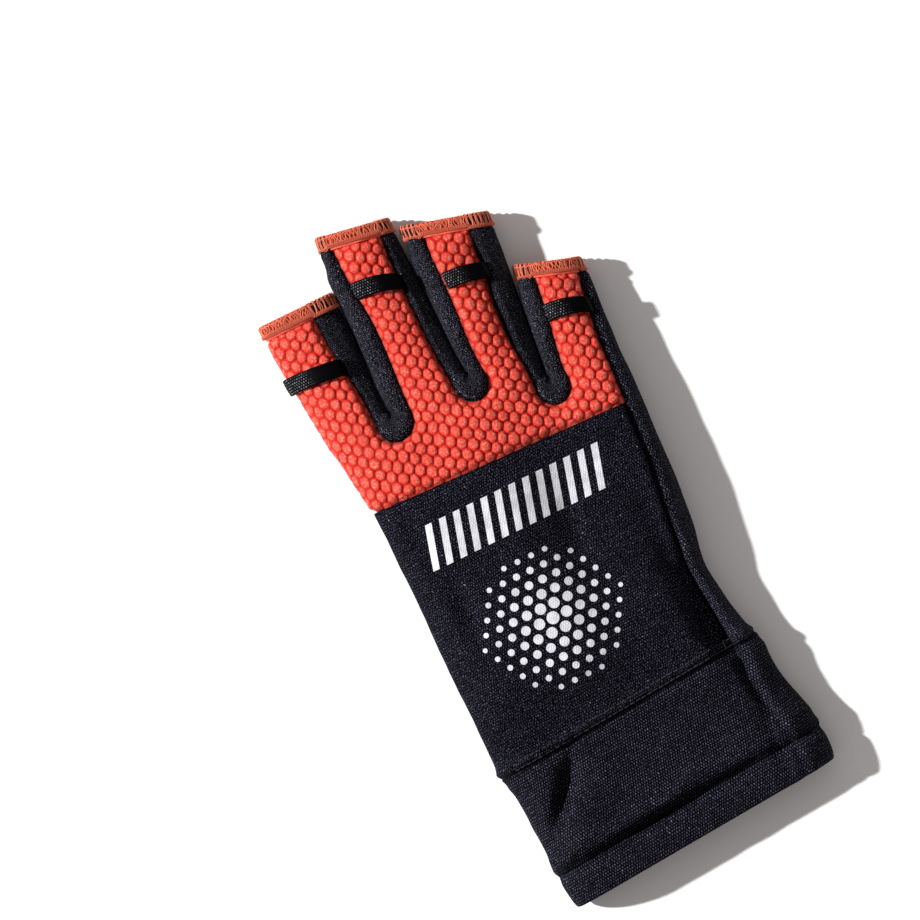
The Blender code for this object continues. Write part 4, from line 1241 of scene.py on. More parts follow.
def coral_relief(parameters, points, edge):
    """Height of the domes, flatter over the thumb side and at the seams, which lie in trenches."""
    x, y = parameters[:, 0], parameters[:, 1]
    warp_x = x + 0.30 * MM * ripples(x, y, 31, 9 * MM)
    warp_y = y + 0.30 * MM * ripples(x, y, 32, 9 * MM)
    dome, number = honeycomb(warp_x, warp_y)
    fade = smooth_step(edge, 0.3 * MM, 2.4 * MM)
    over_side = smooth_step(x - top_pattern_edge(y), -3 * MM, 7 * MM)
    height = DOME_HEIGHT * (dome - 0.45) * (0.72 + 0.5 * number) * (0.40 + 0.60 * fade)
    height *= (0.15 + 0.85 * over_side)
    height += 0.28 * MM * ripples(x, y, 3, 13 * MM) * fade
    height = height - 1.35 * MM * bell(edge, 1.5 * MM) + stall_tilt(points[:, 0], points[:, 1])
    # Masks: the dome's height, which sets the coral's painted valley shade and highlights, and the
    # seam trench's painted shade
    return height, (dome, bell(edge, 0.7 * MM))


def plain_masks(edge, width):
    """Masks of a cloth that has no domes: only its seams' share, which the knit darkens as painted
    shade.
    """
    return 0 * edge, bell(edge, width)


def from_sides(x, y):
    """0 at the silhouette's two sides, 1 inside them."""
    return smooth_step(np.minimum(x - thumb_side_x(y), little_side_x(y) - x), 0.5 * MM, 6 * MM)


def side_groove(distance, y, spread):
    """Height of the groove along the little-finger side's seam, widest beside the wrist."""
    wide = bell(y - 57 * MM, 21 * MM)
    return -(0.9 + 4.1 * wide) * MM * bell(distance, 1.0 * MM + spread * wide)


def back_relief(_, points, edge):
    """Height of the back's ripples, its puckered and stitched wrist seam and its side seam."""
    x, y = points[:, 0], points[:, 1]
    above = y - wrist_line(x)
    sewn = sum(bell(above - row, 0.35 * MM) for row in STITCH_ROWS.values())
    height = 0.20 * MM * ripples(x, y, 5, 17 * MM) + 0.10 * MM * ripples(x, y, 6, 7 * MM)
    height = height + 0.95 * MM * bell(above - WRIST_ROLL, WRIST_ROLL_WIDTH) - 0.22 * MM * sewn
    pucker = np.sin(x / MM * 1.75 + 0.8 * np.sin(x / MM * 0.37))
    height += 0.14 * MM * pucker * bell(above - 2.0 * MM, 2.6 * MM)
    open_sides = 0.15 + 0.85 * from_sides(x, y)
    height -= 1.15 * MM * bell(edge, 1.1 * MM) * open_sides
    height += side_groove(top_seam_x(y) - x, y, BACK_GROOVE) * (points[:, 2] > TOP_SIDE_FROM)
    return height, plain_masks(edge, 0.9 * MM)


def palm_relief(parameters, points, edge):
    """Height of the side strip's ridge and waves, the plain palm's ripples and the seams."""
    x, y = points[:, 0], points[:, 1]
    pattern_x = parameters[:, 0]
    from_seam = side_seam_pattern_x(y) - pattern_x
    over = smooth_step(pattern_x - under_pattern_edge(y), -4 * MM, 1 * MM)
    ridge = 0.8 * MM * bell(from_seam - 3.0 * MM, 2.4 * MM) * over
    waves = 0.30 * MM * ripples(x * 1.6, y, 8, 20 * MM) * over
    plain = 0.15 * MM * ripples(x, y, 9, 12 * MM) * smooth_step(points[:, 2], 1 * MM, 4 * MM)
    bump_at_wrist = 0.9 * MM * bell(y - wrist_line(x) - WRIST_ROLL, WRIST_ROLL_WIDTH) * over
    at_wrist = bell(y - wrist_line(x), 3 * MM) * (1 - from_sides(x, y))
    height = ridge + waves + plain + bump_at_wrist
    height -= 1.0 * MM * bell(edge, 1.0 * MM) * (1 - 0.9 * at_wrist)
    beside = side_groove(x - under_seam_plan_x(y), y, PALM_GROOVE)
    height += beside * over * (points[:, 2] > TOP_SIDE_FROM)
    return height, plain_masks(edge, 0.9 * MM)


# The pieces

def above_seam(line):
    """The edge of the cloth above a seam line."""
    return lambda x: line(x) + SEAM_GAP / 2


def below_seam(line):
    """The edge of the cloth below a seam line."""
    return lambda x: line(x) - SEAM_GAP / 2


def knuckle_outline(spacing):
    """Outline of the coral cloth in its flat pattern."""
    low = above_seam(knuckle_line)
    left = up_line(radial_seam_x, meeting_y(low, radial_seam_plan_x, y_of(2.0)),
                   float(cloth_end("index", thumb_side_x(y_of(2.8)))), spacing)
    right = up_line(top_seam_x,
                    meeting_y(lambda x: cloth_end("pinky", x), top_seam_x, y_of(2.5)),
                    meeting_y(low, top_seam_x, y_of(2.0)), spacing)
    outline = fingers_outline(left, right, True, spacing)
    below = across_line(low, right[-1, 0], left[0, 0], spacing, top_cloth)
    return np.concatenate([outline, below])


def knuckle_panel(material):
    spacing = DOME_PITCH / math.sqrt(3) / DOME_STEPS
    obj = cloth_sheet("knuckle_cloth", [knuckle_outline(spacing)], spacing, top_cloth, UP,
                      HONEYCOMB_WALL, coral_relief, material)
    finished(obj, "coral_honeycomb", "knuckle_panel")


def back_outline(spacing):
    """Outline of the back's cloth in its flat pattern."""
    low, high = above_seam(wrist_line), below_seam(knuckle_line)
    left = up_line(radial_seam_x, meeting_y(low, radial_seam_plan_x, y_of(1.0)),
                   meeting_y(high, radial_seam_plan_x, y_of(2.0)), spacing)
    right = up_line(top_seam_x, meeting_y(high, top_seam_x, y_of(2.0)),
                    meeting_y(low, top_seam_x, y_of(1.0)), spacing)
    top = across_line(high, left[-1, 0], right[0, 0], spacing, top_cloth)
    bottom = across_line(low, right[-1, 0], left[0, 0], spacing, top_cloth)
    return np.concatenate([left, top, right, bottom])


def back_panel(material):
    obj = cloth_sheet("back_cloth", [back_outline(BACK_SPACING)], BACK_SPACING, top_cloth, UP,
                      KNIT_WALL, back_relief, material)
    finished(obj, "black_knit", "back_panel")


def thumb_centre():
    """X of the thumb stall's centre line."""
    return THUMB_AXIS * PALM_WIDTH


def thumb_rear_y():
    """Y of the middle of the stall's round base end."""
    return float(y_of(THUMB_LEVEL)) + THUMB_WIDTH / 2


def thumb_front_y():
    """Y of the base's front end, where the stall leaves the palm."""
    return float(y_of(THUMB_LEVEL)) + THUMB_BASE_LENGTH


def thumb_tip_y():
    return thumb_front_y() + THUMB_FREE_LENGTH


def thumb_hole(spacing):
    """Outline of the hole in the palm that leads into the thumb stall."""
    radius = THUMB_WIDTH / 2 - THUMB_RIM
    rear, front = thumb_rear_y(), thumb_front_y()
    centre = thumb_centre()
    angles = np.linspace(math.pi, 2 * math.pi, round(math.pi * radius / spacing) + 1)
    arc = np.stack([centre + radius * np.cos(angles), rear + radius * np.sin(angles)], 1)
    right = up_line(lambda y: np.full_like(y, centre + radius), rear, front, spacing)[1:]
    left = up_line(lambda y: np.full_like(y, centre - radius), front, rear, spacing)[:-1]
    front_edge = across_line(lambda x: np.full_like(x, front), centre + radius, centre - radius,
                             spacing)
    return np.concatenate([arc, right, front_edge, left])


def palm_outline(spacing):
    """Outline of the palm's cloth in its flat pattern."""
    low = above_seam(wrist_line)
    left_x = above_seam(lambda y: thumb_side_x(y) + RADIAL_SEAM_INSET)
    left = up_line(left_x, meeting_y(low, left_x, y_of(1.0)),
                   float(cloth_end("index", left_x(y_of(2.8)))), spacing)
    right = up_line(side_seam_pattern_x,
                    meeting_y(lambda x: cloth_end("pinky", x), under_seam_plan_x, y_of(2.5)),
                    meeting_y(low, under_seam_plan_x, y_of(1.0)), spacing)
    outline = fingers_outline(left, right, False, spacing)
    bottom = across_line(low, right[-1, 0], left[0, 0], spacing, under_cloth)
    return np.concatenate([outline, bottom])


def palm_panel(material):
    loops = [palm_outline(PALM_SPACING), thumb_hole(PALM_SPACING)]
    obj = cloth_sheet("palm_cloth", loops, PALM_SPACING, under_cloth, -UP, KNIT_WALL,
                      palm_relief, material)
    finished(obj, "black_knit", "palm_panel")


def fourchette(slot, stalls, material):
    """Gusset between two stalls: a puffy roll bent into a U round the slot between them."""
    stations = slot_stations(GUSSET_SIDE_STEPS, GUSSET_END_STEPS)
    columns, rows = len(stations), GUSSET_ROWS

    def surface(parameters):
        at, angle = parameters[:, 0], parameters[:, 1]
        width = np.where(angle > 0, rim_width(slot_path(slot, stalls, at, 0)[2]), LOWER_RIM)
        place = slot_path(slot, stalls, at, oval_inset(np.abs(angle), width))[0]
        return np.column_stack([place, skin(place[:, 0], place[:, 1], angle)])

    _, direction, y = slot_path(slot, stalls, stations, 0)
    upper_seam = slot_seam_inset(slot, stalls, stations, True) - SEAM_GAP / 2
    high = oval_angle(upper_seam, rim_width(y))
    low = -oval_angle(UNDER_SEAM_INSET - SEAM_GAP / 2, LOWER_RIM)
    share = np.concatenate([np.linspace(0, 0.16, 8)[:-1], np.linspace(0.16, 1, rows - 7)])
    angles = high[:, None] + (low - high[:, None]) * share[None]
    parameters = np.stack([np.repeat(stations, rows), angles.ravel()], 1)
    outward = -np.column_stack([np.repeat(direction, rows, axis=0), np.zeros(len(parameters))])
    points, normals = on_surface(surface, parameters, outward)
    grid = points.reshape(columns, rows, 3)
    run = np.linalg.norm(np.diff(grid, axis=1), axis=2)
    from_seam = np.concatenate([np.zeros((columns, 1)), np.cumsum(run, axis=1)], axis=1)
    fallen = 1 - smooth_step(stations, 0.75, 1.25)[:, None]
    roll = 1.55 * MM * (1 - 0.95 * fallen) * (1 - bell(from_seam, 1.5 * MM))
    roll = roll * (1 - smooth_step(share, 0.15, 0.44))
    roll = roll - 0.5 * MM * fallen * bell(share - 0.12, 0.12)
    dip = -1.1 * MM * bell(from_seam, 0.7 * MM)
    to_end = from_seam[:, -1:] - from_seam
    dip -= 0.8 * MM * bell(to_end, 0.8 * MM)
    ends = np.minimum(stations, 3 - stations)[:, None]
    dip -= 0.6 * MM * bell(ends * SLOT_SIDE, 0.9 * MM)
    along = np.concatenate([[0], np.cumsum(np.linalg.norm(np.diff(grid[:, 5], axis=0), axis=1))])
    waves = 0.22 * MM * ripples(np.repeat(along, rows), from_seam.ravel() * 0.8,
                                len(slot), 9 * MM).reshape(columns, rows)
    edge_share = (high / (high - low))[:, None]
    reach = 0.3 + 1.4 * smooth_step(stations, 1.0, 2.0)
    closed = ((slot_gap(slot, y) - 0.07 * MM) * reach)[:, None]
    closed = closed * smooth_step(ends * SLOT_SIDE, 4 * MM, 10 * MM)
    closed = closed * bell(share - edge_share, 0.20)
    height = (roll + dip + closed + waves * smooth_step(from_seam, 0.5 * MM, 2 * MM)
              * (1 - smooth_step(share, 0.2, 0.4))).ravel()
    outer = points + normals * height[:, None]
    inner = points - normals * KNIT_WALL
    count = len(outer)
    faces = open_grid(columns, rows)
    if turned_over(faces, outer, normals):
        faces = faces[:, ::-1]
    # Painted shade along the seam, which the fine knit darkens
    seam = bell(from_seam, 0.8 * MM).ravel()
    uv = np.stack([from_seam.ravel(), np.repeat(along, rows)], 1)
    obj = new_piece(f"gusset_{slot}", np.concatenate([outer, inner]),
                    walled(faces.tolist(), count), material,
                    np.concatenate([uv, uv]),
                    [np.zeros(2 * count), np.concatenate([seam, seam])])
    obj.data.set_sharp_from_angle(angle=CLOTH_CREASE)
    finished(obj, "black_knit", f"fourchette_{slot}")


def section_x(around, y, left, right):
    """X and side at a share of the way round a cross-section, from its thumb-side edge over the
    top to its other edge and back along the underside."""
    top = around < 0.5
    share = np.where(top, around * 2, 2 - around * 2)
    half = (right - left) / 2
    width = np.minimum(np.where(top, rim_width(y), LOWER_RIM), half)
    arc = np.where(top, UPPER_ARCS[-1], LOWER_ARCS[-1]) * width
    length = 2 * arc + 2 * (half - width)
    distance = np.minimum(share, 1 - share) * length
    upper = np.interp(distance / width, UPPER_ARCS, UPPER_ANGLES)
    lower = np.interp(distance / width, LOWER_ARCS, LOWER_ANGLES)
    inset = oval_inset(np.where(top, upper, lower), width) + np.maximum(distance - arc, 0)
    x = np.where(share < 0.5, left + inset, right - inset)
    return x, np.where(top, TOP, UNDER)


def band_surface(edges_of, start_line, end_line):
    """Surface of a band round the hand or a stall, from a share of the way round and a share of
    the way between two slanted lines."""
    def surface(parameters):
        around, share = parameters[:, 0] % 1.0, parameters[:, 1]
        level_y = start_line(0 * share) * (1 - share) + end_line(0 * share) * share
        x, _ = section_x(around, level_y, *edges_of(level_y))
        y = start_line(x) * (1 - share) + end_line(x) * share
        x, side = section_x(around, y, *edges_of(y))
        return np.column_stack([x, y, skin(x, y, side)])
    return surface


def band_outward(points):
    """Directions away from a band's middle, level with its opening."""
    centre = (points.max(axis=0) + points.min(axis=0)) / 2
    outward = (points - centre) * [1, 0, 1]
    return outward / np.linalg.norm(outward, axis=1, keepdims=True)


def band(name, columns, rows, surface, length, thick, relief, material, masks=None,
         proud=0.0):
    """A closed band of cloth with rounded edges. The relief and the masks take each point's shares
    of the way round and between the band's edges, and its place."""
    curve = np.linspace(0, math.pi, 7)[1:-1]
    share = np.linspace(0, 1, rows)
    inner = np.linspace(1, 0, max(3, rows // 3))
    bulge = thick / 2 / length
    profile = np.concatenate([
        np.stack([share, 0 * share], 1),
        np.stack([1 + bulge * np.sin(curve), (1 - np.cos(curve)) / 2], 1),
        np.stack([inner, 1 + 0 * inner], 1),
        np.stack([-bulge * np.sin(curve), (1 + np.cos(curve)) / 2], 1)])
    around = (np.arange(columns) + 0.5) / columns
    parameters = np.stack([np.tile(around, len(profile)), np.repeat(profile[:, 0], columns)], 1)
    depth = np.repeat(profile[:, 1], columns)
    points, normals = on_surface(surface, parameters, band_outward(surface(parameters)))
    height = relief(parameters, points) + proud - depth * thick
    placed = points + normals * height[:, None]
    faces = closed_grid(len(profile), columns, True)
    if turned_over(faces[:columns * (rows - 1)], placed, normals):
        faces = faces[:, ::-1]
    ring = placed[:columns]
    girth = np.linalg.norm(np.diff(ring, axis=0, append=ring[:1]), axis=1).sum()
    uv = np.stack([parameters[:, 0] * girth, parameters[:, 1] * length], 1)
    return new_piece(name, placed, faces, material, uv,
                     masks(parameters, points) if masks else ())


def hand_edges(y):
    return thumb_side_x(y), little_side_x(y)


def cuff_side_seam(points):
    """A seam's valley down the cuff's little-finger side, with a low ridge beside it."""
    y = points[:, 1]
    aside = points[:, 0] - little_side_x(y) + side_seam_inset(y)
    on_top = smooth_step(points[:, 2], 5 * MM, 9 * MM)
    ridge = 0.9 * MM * bell(aside - 3.0 * MM, 2.0 * MM)
    return (ridge + side_groove(np.abs(aside), y, CUFF_GROOVE)) * on_top


def fullness(x, z):
    """How deep the valley between cuff and hem is: most in the middle of the top side."""
    return (0.30 + 0.70 * bell(x + 8 * MM, 32 * MM)) * smooth_step(z, 4 * MM, 10 * MM)


def cuff(material):
    start = HEM_DEPTH + SEAM_GAP / 2

    def relief(parameters, points):
        x, y = points[:, 0], points[:, 1]
        height = 0.25 * MM * ripples(x, y, 11, 18 * MM) + 0.10 * MM * ripples(x, y, 12, 6 * MM)
        height += (0.5 - 1.4 * from_sides(x, y)) * MM * bell(wrist_line(x) - y, 1.2 * MM)
        height += 0.5 * MM * bell(wrist_line(x) - y - 3.4 * MM, 2.2 * MM)
        above = y - mouth_line(x) - start
        full = fullness(x, points[:, 2])
        waver = 0.9 * MM * np.sin(x / MM * 0.16 + 0.6) + 0.5 * MM * np.sin(x / MM * 0.31)
        height -= VALLEY_DEPTH * full * bell(np.maximum(above - 0.5 * MM, 0), 1.7 * MM)
        height += 1.7 * MM * full * bell(above - 5.4 * MM - waver, 2.6 * MM)
        height += 0.9 * MM * (1 - full) * bell(above - 1.6 * MM, 1.6 * MM)
        return height + cuff_side_seam(points)

    def masks(parameters, points):
        share = parameters[:, 1]
        # Painted shade along the cuff's two seams
        seam = bell(share, 0.03) + bell(1 - share, 0.03)
        return 0 * share, seam

    surface = band_surface(hand_edges, lambda x: mouth_line(x) + start,
                           below_seam(wrist_line))
    obj = band("cuff_cloth", HAND_COLUMNS, CUFF_ROWS, surface, CUFF_LENGTH - start, KNIT_WALL,
               relief, material, masks)
    finished(obj, "black_knit", "cuff")


def cuff_hem(material):
    def relief(parameters, points):
        share = np.clip(parameters[:, 1], 0, 1)
        x, y = points[:, 0], points[:, 1]
        full = fullness(x, points[:, 2])
        below = (1 - share) * HEM_DEPTH
        height = 0.6 * MM * np.sin(math.pi * share) ** 0.8
        height -= VALLEY_DEPTH * full * (1 - smooth_step(below, 0.2 * MM, 3.4 * MM))
        height += 0.18 * MM * ripples(x, y * 0.6, 15, 9 * MM)
        return height + cuff_side_seam(points) * 0.8

    def masks(parameters, points):
        share = parameters[:, 1]
        # Painted shade along the hem's seam
        return plain_masks(1 - share, 0.09)

    surface = band_surface(hand_edges, mouth_line,
                           lambda x: mouth_line(x) + HEM_DEPTH - SEAM_GAP / 2)
    obj = band("cuff_fold", HAND_COLUMNS, HEM_ROWS, surface, HEM_DEPTH, HEM_WALL, relief,
               material, masks)
    finished(obj, "black_knit", "cuff_hem")


def stitch_edge(name, surface, outward_of, thick, material, coral_at):
    """Overlocking round a stall's end: three slanting threads at each stitch, which go over the
    edge, two looping threads along their foot and a wavy one along the rim. The surface takes a
    share of the way round and a share of the binding's depth. Over coral the foot is higher."""
    middle = surface(np.stack([(np.arange(60) + 0.5) / 60, np.full(60, 0.5)], 1))
    girth = np.linalg.norm(np.diff(middle, axis=0, append=middle[:1]), axis=1).sum()
    count = round(girth / OVERLOCK_PITCH)
    step = 1 / count
    stations = np.arange(count) * step
    threads = []

    def add(around, share, rise, radius):
        parameters = np.stack([around.ravel(), share.ravel()], 1)
        points, normals = on_surface(surface, parameters, outward_of(surface(parameters)))
        points = points + normals * rise.ravel()[:, None]
        shape = (*around.shape, 3)
        threads.append(tubes(points.reshape(shape), normals.reshape(shape), radius))

    def foot_over(around):
        """The threads' foot, as a share of the depth, and where there is coral below it."""
        probe = np.stack([around, np.full(len(around), 0.5)], 1)
        coral = coral_at(probe, surface(probe))
        return OVERLOCK_FOOT + (CORAL_FOOT - OVERLOCK_FOOT) * coral, coral

    t = np.linspace(0, 1, 9)
    bend = np.linspace(0, math.pi, 7)[1:]
    bulge = thick / 2 / BINDING_DEPTH
    over = np.concatenate([t, 1 + (bulge + 0.06) * np.sin(bend)])
    rise = np.concatenate([0.20 * MM + 0.14 * MM * np.sin(math.pi * t),
                           0.20 * MM - (thick / 2 + 0.2 * MM) * (1 - np.cos(bend))])
    random = np.random.RandomState(len(name))
    foot_at, over_coral = (found[:, None] for found in foot_over(stations + 0.4 * step))
    for k in range(3):
        shift = (0.17 + 0.16 * over_coral) * k
        loose = 0.09 + 0.09 * over_coral
        wobble = loose * random.uniform(-1, 1, (count, 1))
        foot = foot_at + 0.04 * random.uniform(-1, 1, (count, 1))
        bend_of = loose * np.sin(over[None] * 6 + random.uniform(0, 6, (count, 1)))
        around = stations[:, None] + (shift + wobble + bend_of
                                      + 0.10 * np.minimum(over, 1)[None]) * step
        share = foot + (1 - foot) * over[None]
        height = rise[None] + 0.06 * MM * random.uniform(-1, 1, (count, 1))
        add(around, share, height, OVERLOCK_RADIUS)
    ring = np.linspace(0, 1, count * 12 + 1)
    chain_foot, _ = foot_over(ring)
    links = round(count * 1.4)
    for phase in (0.0, math.pi):
        swing = np.sin(ring * links * 2 * math.pi + phase)
        lift_of = np.cos(ring * links * 2 * math.pi + phase)
        add(ring[None], (chain_foot + 0.06 + 0.15 * swing)[None],
            (0.44 * MM + 0.22 * MM * lift_of)[None], CHAIN_RADIUS)
    edge = np.sin(ring * count * 2 * math.pi)
    add(ring[None], (1.0 + 0.04 * edge)[None], (0.22 * MM + 0.10 * MM * edge)[None],
        RIM_THREAD_RADIUS)
    thread_piece(name, threads, material, "coral_thread")


def tip_binding(stall, cloth, thread):
    """Overlocked edge round a stall's open end."""
    def edges_of(y):
        return stall_edges(stall, y)

    def start(x):
        return tip_line(stall, x) - BINDING_DEPTH

    def relief(parameters, points):
        share = parameters[:, 1]
        return (0.12 * MM * np.sin(parameters[:, 0] * 55) - 0.40 * MM * bell(share, 0.14)
                - 0.22 * MM * bell(share - 0.46, 0.10))

    def masks(parameters, points):
        """Where the cloth is coral, and where it is below the stitches."""
        x, y = points[:, 0], points[:, 1]
        low, high = top_edges(stall, y)
        above, below = np.minimum(x - low, high - x), np.full_like(x, -1 * MM)
        if stall == STALLS[0]:
            above, below = high - x, radial_seam_plan_x(y) - x
        inward = np.where((parameters[:, 0] % 1.0) < 0.5, above, below)
        return (smooth_step(inward, -0.4 * MM, 0.4 * MM),
                1 - smooth_step(parameters[:, 1], 0.12, 0.20))

    surface = band_surface(edges_of, start, lambda x: tip_line(stall, x))
    obj = band(f"bound_edge_{stall}", TIP_COLUMNS, BINDING_ROWS, surface, BINDING_DEPTH,
               BOUND_WALL, relief, cloth, masks, proud=BINDING_PROUD * 0.3)
    finished(obj, "coral_thread", f"tip_binding_{stall}")
    stitch_edge(f"overlock_{stall}", surface, band_outward, BOUND_WALL, thread,
                lambda at, points: masks(at, points)[0])


def finger_loop(stall, material):
    """Flat braided elastic across the top of a stall, tucked into the seams at its sides. The
    first one goes on over the thumb side."""
    start_level, end_level, bow = LOOPS[stall]
    start_y, end_y = float(y_of(start_level)), float(y_of(end_level))
    start_x = float(top_edges(stall, start_y)[0]) - LOOP_TUCK
    end_x = float(top_edges(stall, end_y)[1]) + LOOP_TUCK
    at_side = stall == STALLS[0]
    if at_side:
        start_x = float(top_pattern_edge(start_y)) - LOOP_UNDER_REACH

    def surface(parameters):
        along, across = parameters[:, 0], parameters[:, 1]
        x = start_x + (end_x - start_x) * along
        bend = bow * LOOP_WIDTH * 4 * along * (1 - along)
        y = start_y + (end_y - start_y) * along + bend + LOOP_WIDTH * across
        return top_cloth(np.stack([x, y], 1))

    length = abs(end_x - start_x)
    columns, rows = LOOP_COLUMNS, LOOP_ROWS
    along = np.linspace(0, 1, columns)
    turn = np.linspace(0, 2 * math.pi, rows, endpoint=False)
    across, high = (np.sign(wave) * np.abs(wave) ** LOOP_SQUARENESS
                    for wave in (np.cos(turn), np.sin(turn)))
    across = across / 2
    parameters = np.stack([np.repeat(along, rows), np.tile(across, columns)], 1)
    points, normals = on_surface(surface, parameters, UP)
    arch = LOOP_ARCH * np.sin(math.pi * np.repeat(along, rows)) ** 0.8
    from_end = np.minimum(along, 1 - along) * length
    sunk = LOOP_SINK * (1 - smooth_step(from_end, 0.6 * MM, 3.2 * MM))
    level = np.tile(high, columns)
    phase = np.repeat(along, rows) * length / BRAID_PITCH
    within = (np.tile(across, columns) + 0.5) * LOOP_RIBS % 1.0
    chevron = np.abs(within - 0.5) * 0.9
    leg = np.cos(2 * math.pi * (phase - chevron)) * 0.5 + 0.5
    rib = np.sin(math.pi * within) ** 0.7
    height = (0.35 * MM + arch - np.repeat(sunk, rows) + LOOP_THICKNESS / 2 * (1 + level)
              + np.where(level > 0, RIB_DEPTH * (rib * (0.75 + 0.25 * leg) - 0.5), 0))
    placed = points + normals * height[:, None]
    faces = closed_grid(columns, rows, False).tolist()
    faces += [list(range(rows)), [(columns - 1) * rows + k for k in range(rows)][::-1]]
    hidden = LOOP_UNDER_REACH / length if at_side else 0.0
    # Where the elastic gets painted glints: near its thumb-side end, fading out most of the way
    # along
    lit = np.repeat(1 - smooth_step((along - hidden) / (1 - hidden), 0.20, 0.85), rows)
    uv = np.stack([np.repeat(along, rows) * length, np.tile(across, columns) * LOOP_WIDTH], 1)
    obj = new_piece(f"elastic_{stall}", placed, faces, material, uv,
                    [np.zeros(len(lit)), lit])
    finished(obj, "black_elastic", f"finger_loop_{stall}")


def thumb_surface(parameters):
    """Skin of the thumb stall. The first parameter is the station along its outline, as on a
    slot; the second runs from 1 at its upper centre line over the edge to -1 at its lower one."""
    along, inward = parameters[:, 0], parameters[:, 1]
    rear, tip = thumb_rear_y(), thumb_tip_y() - BINDING_DEPTH - SEAM_GAP
    half = THUMB_WIDTH / 2
    y = np.where(along < 1, tip + (rear - tip) * along,
                 np.where(along > 2, rear + (tip - rear) * (along - 2), rear))
    turn = math.pi * (1 + np.clip(along - 1, 0, 1))
    direction = np.stack([np.cos(turn), np.sin(turn)], 1)
    depth = np.abs(inward)
    rim = oval_inset(np.clip(depth * math.pi, 0, math.pi / 2), THUMB_RIM)
    inset = rim + (half - THUMB_RIM) * np.clip(2 * depth - 1, 0, 1)
    place = np.stack([thumb_centre() + 0 * y, y], 1) + direction * (half - inset)[:, None]
    height = THUMB_HEIGHT / 2 * (1 + np.sign(inward) * oval_height(inset, THUMB_RIM))
    return np.column_stack([place, height])


def thumb_stall(material):
    """Flattened tube under the palm, closed round its base and open above to the palm's hole."""
    rear, front = thumb_rear_y(), thumb_front_y()
    tip = thumb_tip_y() - BINDING_DEPTH - SEAM_GAP
    front_share = (tip - front) / (tip - rear)
    down = np.concatenate([np.linspace(0, front_share, 40), np.linspace(front_share, 1, 24)[1:]])
    stations = np.concatenate([down, np.linspace(1, 2, 40)[1:], 3 - down[::-1][1:]])
    inward = np.concatenate([np.linspace(1, 0.5, 9)[:-1], np.linspace(0.5, -0.5, 29),
                             np.linspace(-0.5, -1, 9)[1:]])
    rows = len(inward)
    parameters = np.stack([np.repeat(stations, rows), np.tile(inward, len(stations))], 1)
    faces = open_grid(len(stations), rows)
    middle = parameters[faces].mean(axis=1)
    in_base = (middle[:, 0] > front_share) & (middle[:, 0] < 3 - front_share)
    faces = faces[~(in_base & (middle[:, 1] > 0.5))]
    points = thumb_surface(parameters)
    outward = np.column_stack([np.zeros((len(points), 2)), np.sign(parameters[:, 1])])
    points, normals = on_surface(thumb_surface, parameters, outward)
    _, first, index = np.unique(np.round(points / 1e-7).astype(np.int64), axis=0,
                                return_index=True, return_inverse=True)
    index = index.reshape(-1)
    kept = []
    for face in index[faces].tolist():
        corners = list(dict.fromkeys(face))
        if len(corners) > 2:
            kept.append(corners)
    points, normals, parameters = points[first], normals[first], parameters[first]
    x, y = points[:, 0], points[:, 1]
    height = 0.16 * MM * ripples(x, y, 21, 10 * MM) * smooth_step(points[:, 2], 0, 2 * MM)
    outer, inner = points + normals * height[:, None], points - normals * THUMB_WALL
    if turned_over(np.array([f[:3] for f in kept]), outer, normals):
        kept = [f[::-1] for f in kept]
    uv = points[:, :2] + normals[:, :2] * 3 * MM
    obj = new_piece("thumb_cloth", np.concatenate([outer, inner]), walled(kept, len(outer)),
                    material, np.concatenate([uv, uv]))
    obj.data.set_sharp_from_angle(angle=CLOTH_CREASE)
    finished(obj, "black_knit", "thumb_stall")


def thumb_binding(cloth, thread):
    """Overlocked edge round the thumb stall's open end."""
    tip, half = thumb_tip_y(), THUMB_WIDTH / 2

    def surface(parameters):
        around, share = parameters[:, 0] % 1.0, parameters[:, 1]
        top = around < 0.5
        across = np.where(top, around * 2, 2 - around * 2)
        nearer = np.minimum(across, 1 - across) * 2
        rim = oval_inset(np.clip(nearer * math.pi, 0, math.pi / 2), THUMB_RIM)
        inset = rim + (half - THUMB_RIM) * np.clip(2 * nearer - 1, 0, 1)
        x = np.where(across < 0.5, thumb_centre() - half + inset, thumb_centre() + half - inset)
        y = tip - BINDING_DEPTH * (1 - share)
        sign = np.where(top, 1.0, -1.0)
        z = THUMB_HEIGHT / 2 * (1 + sign * oval_height(inset, THUMB_RIM))
        return np.column_stack([x, y, z])

    def outward_of(points):
        return (points - [thumb_centre(), 0, THUMB_HEIGHT / 2]) * [1, 0, 1]

    obj = band("bound_edge_thumb", THUMB_COLUMNS, BINDING_ROWS, surface, BINDING_DEPTH, THUMB_WALL,
               lambda parameters, points: 0 * points[:, 0], cloth)
    finished(obj, "coral_thread", "tip_binding_thumb")
    stitch_edge("overlock_thumb", surface, outward_of, THUMB_WALL, thread,
                lambda at, points: 0 * points[:, 0])


# Stitching and print on the back

def on_back(places):
    """Places on the back cloth's outer side, with its relief, and its normals there."""
    points, normals = on_surface(top_cloth, places, UP)
    height, _ = back_relief(places, points, np.full(len(places), 20 * MM))
    return points + normals * height[:, None], normals


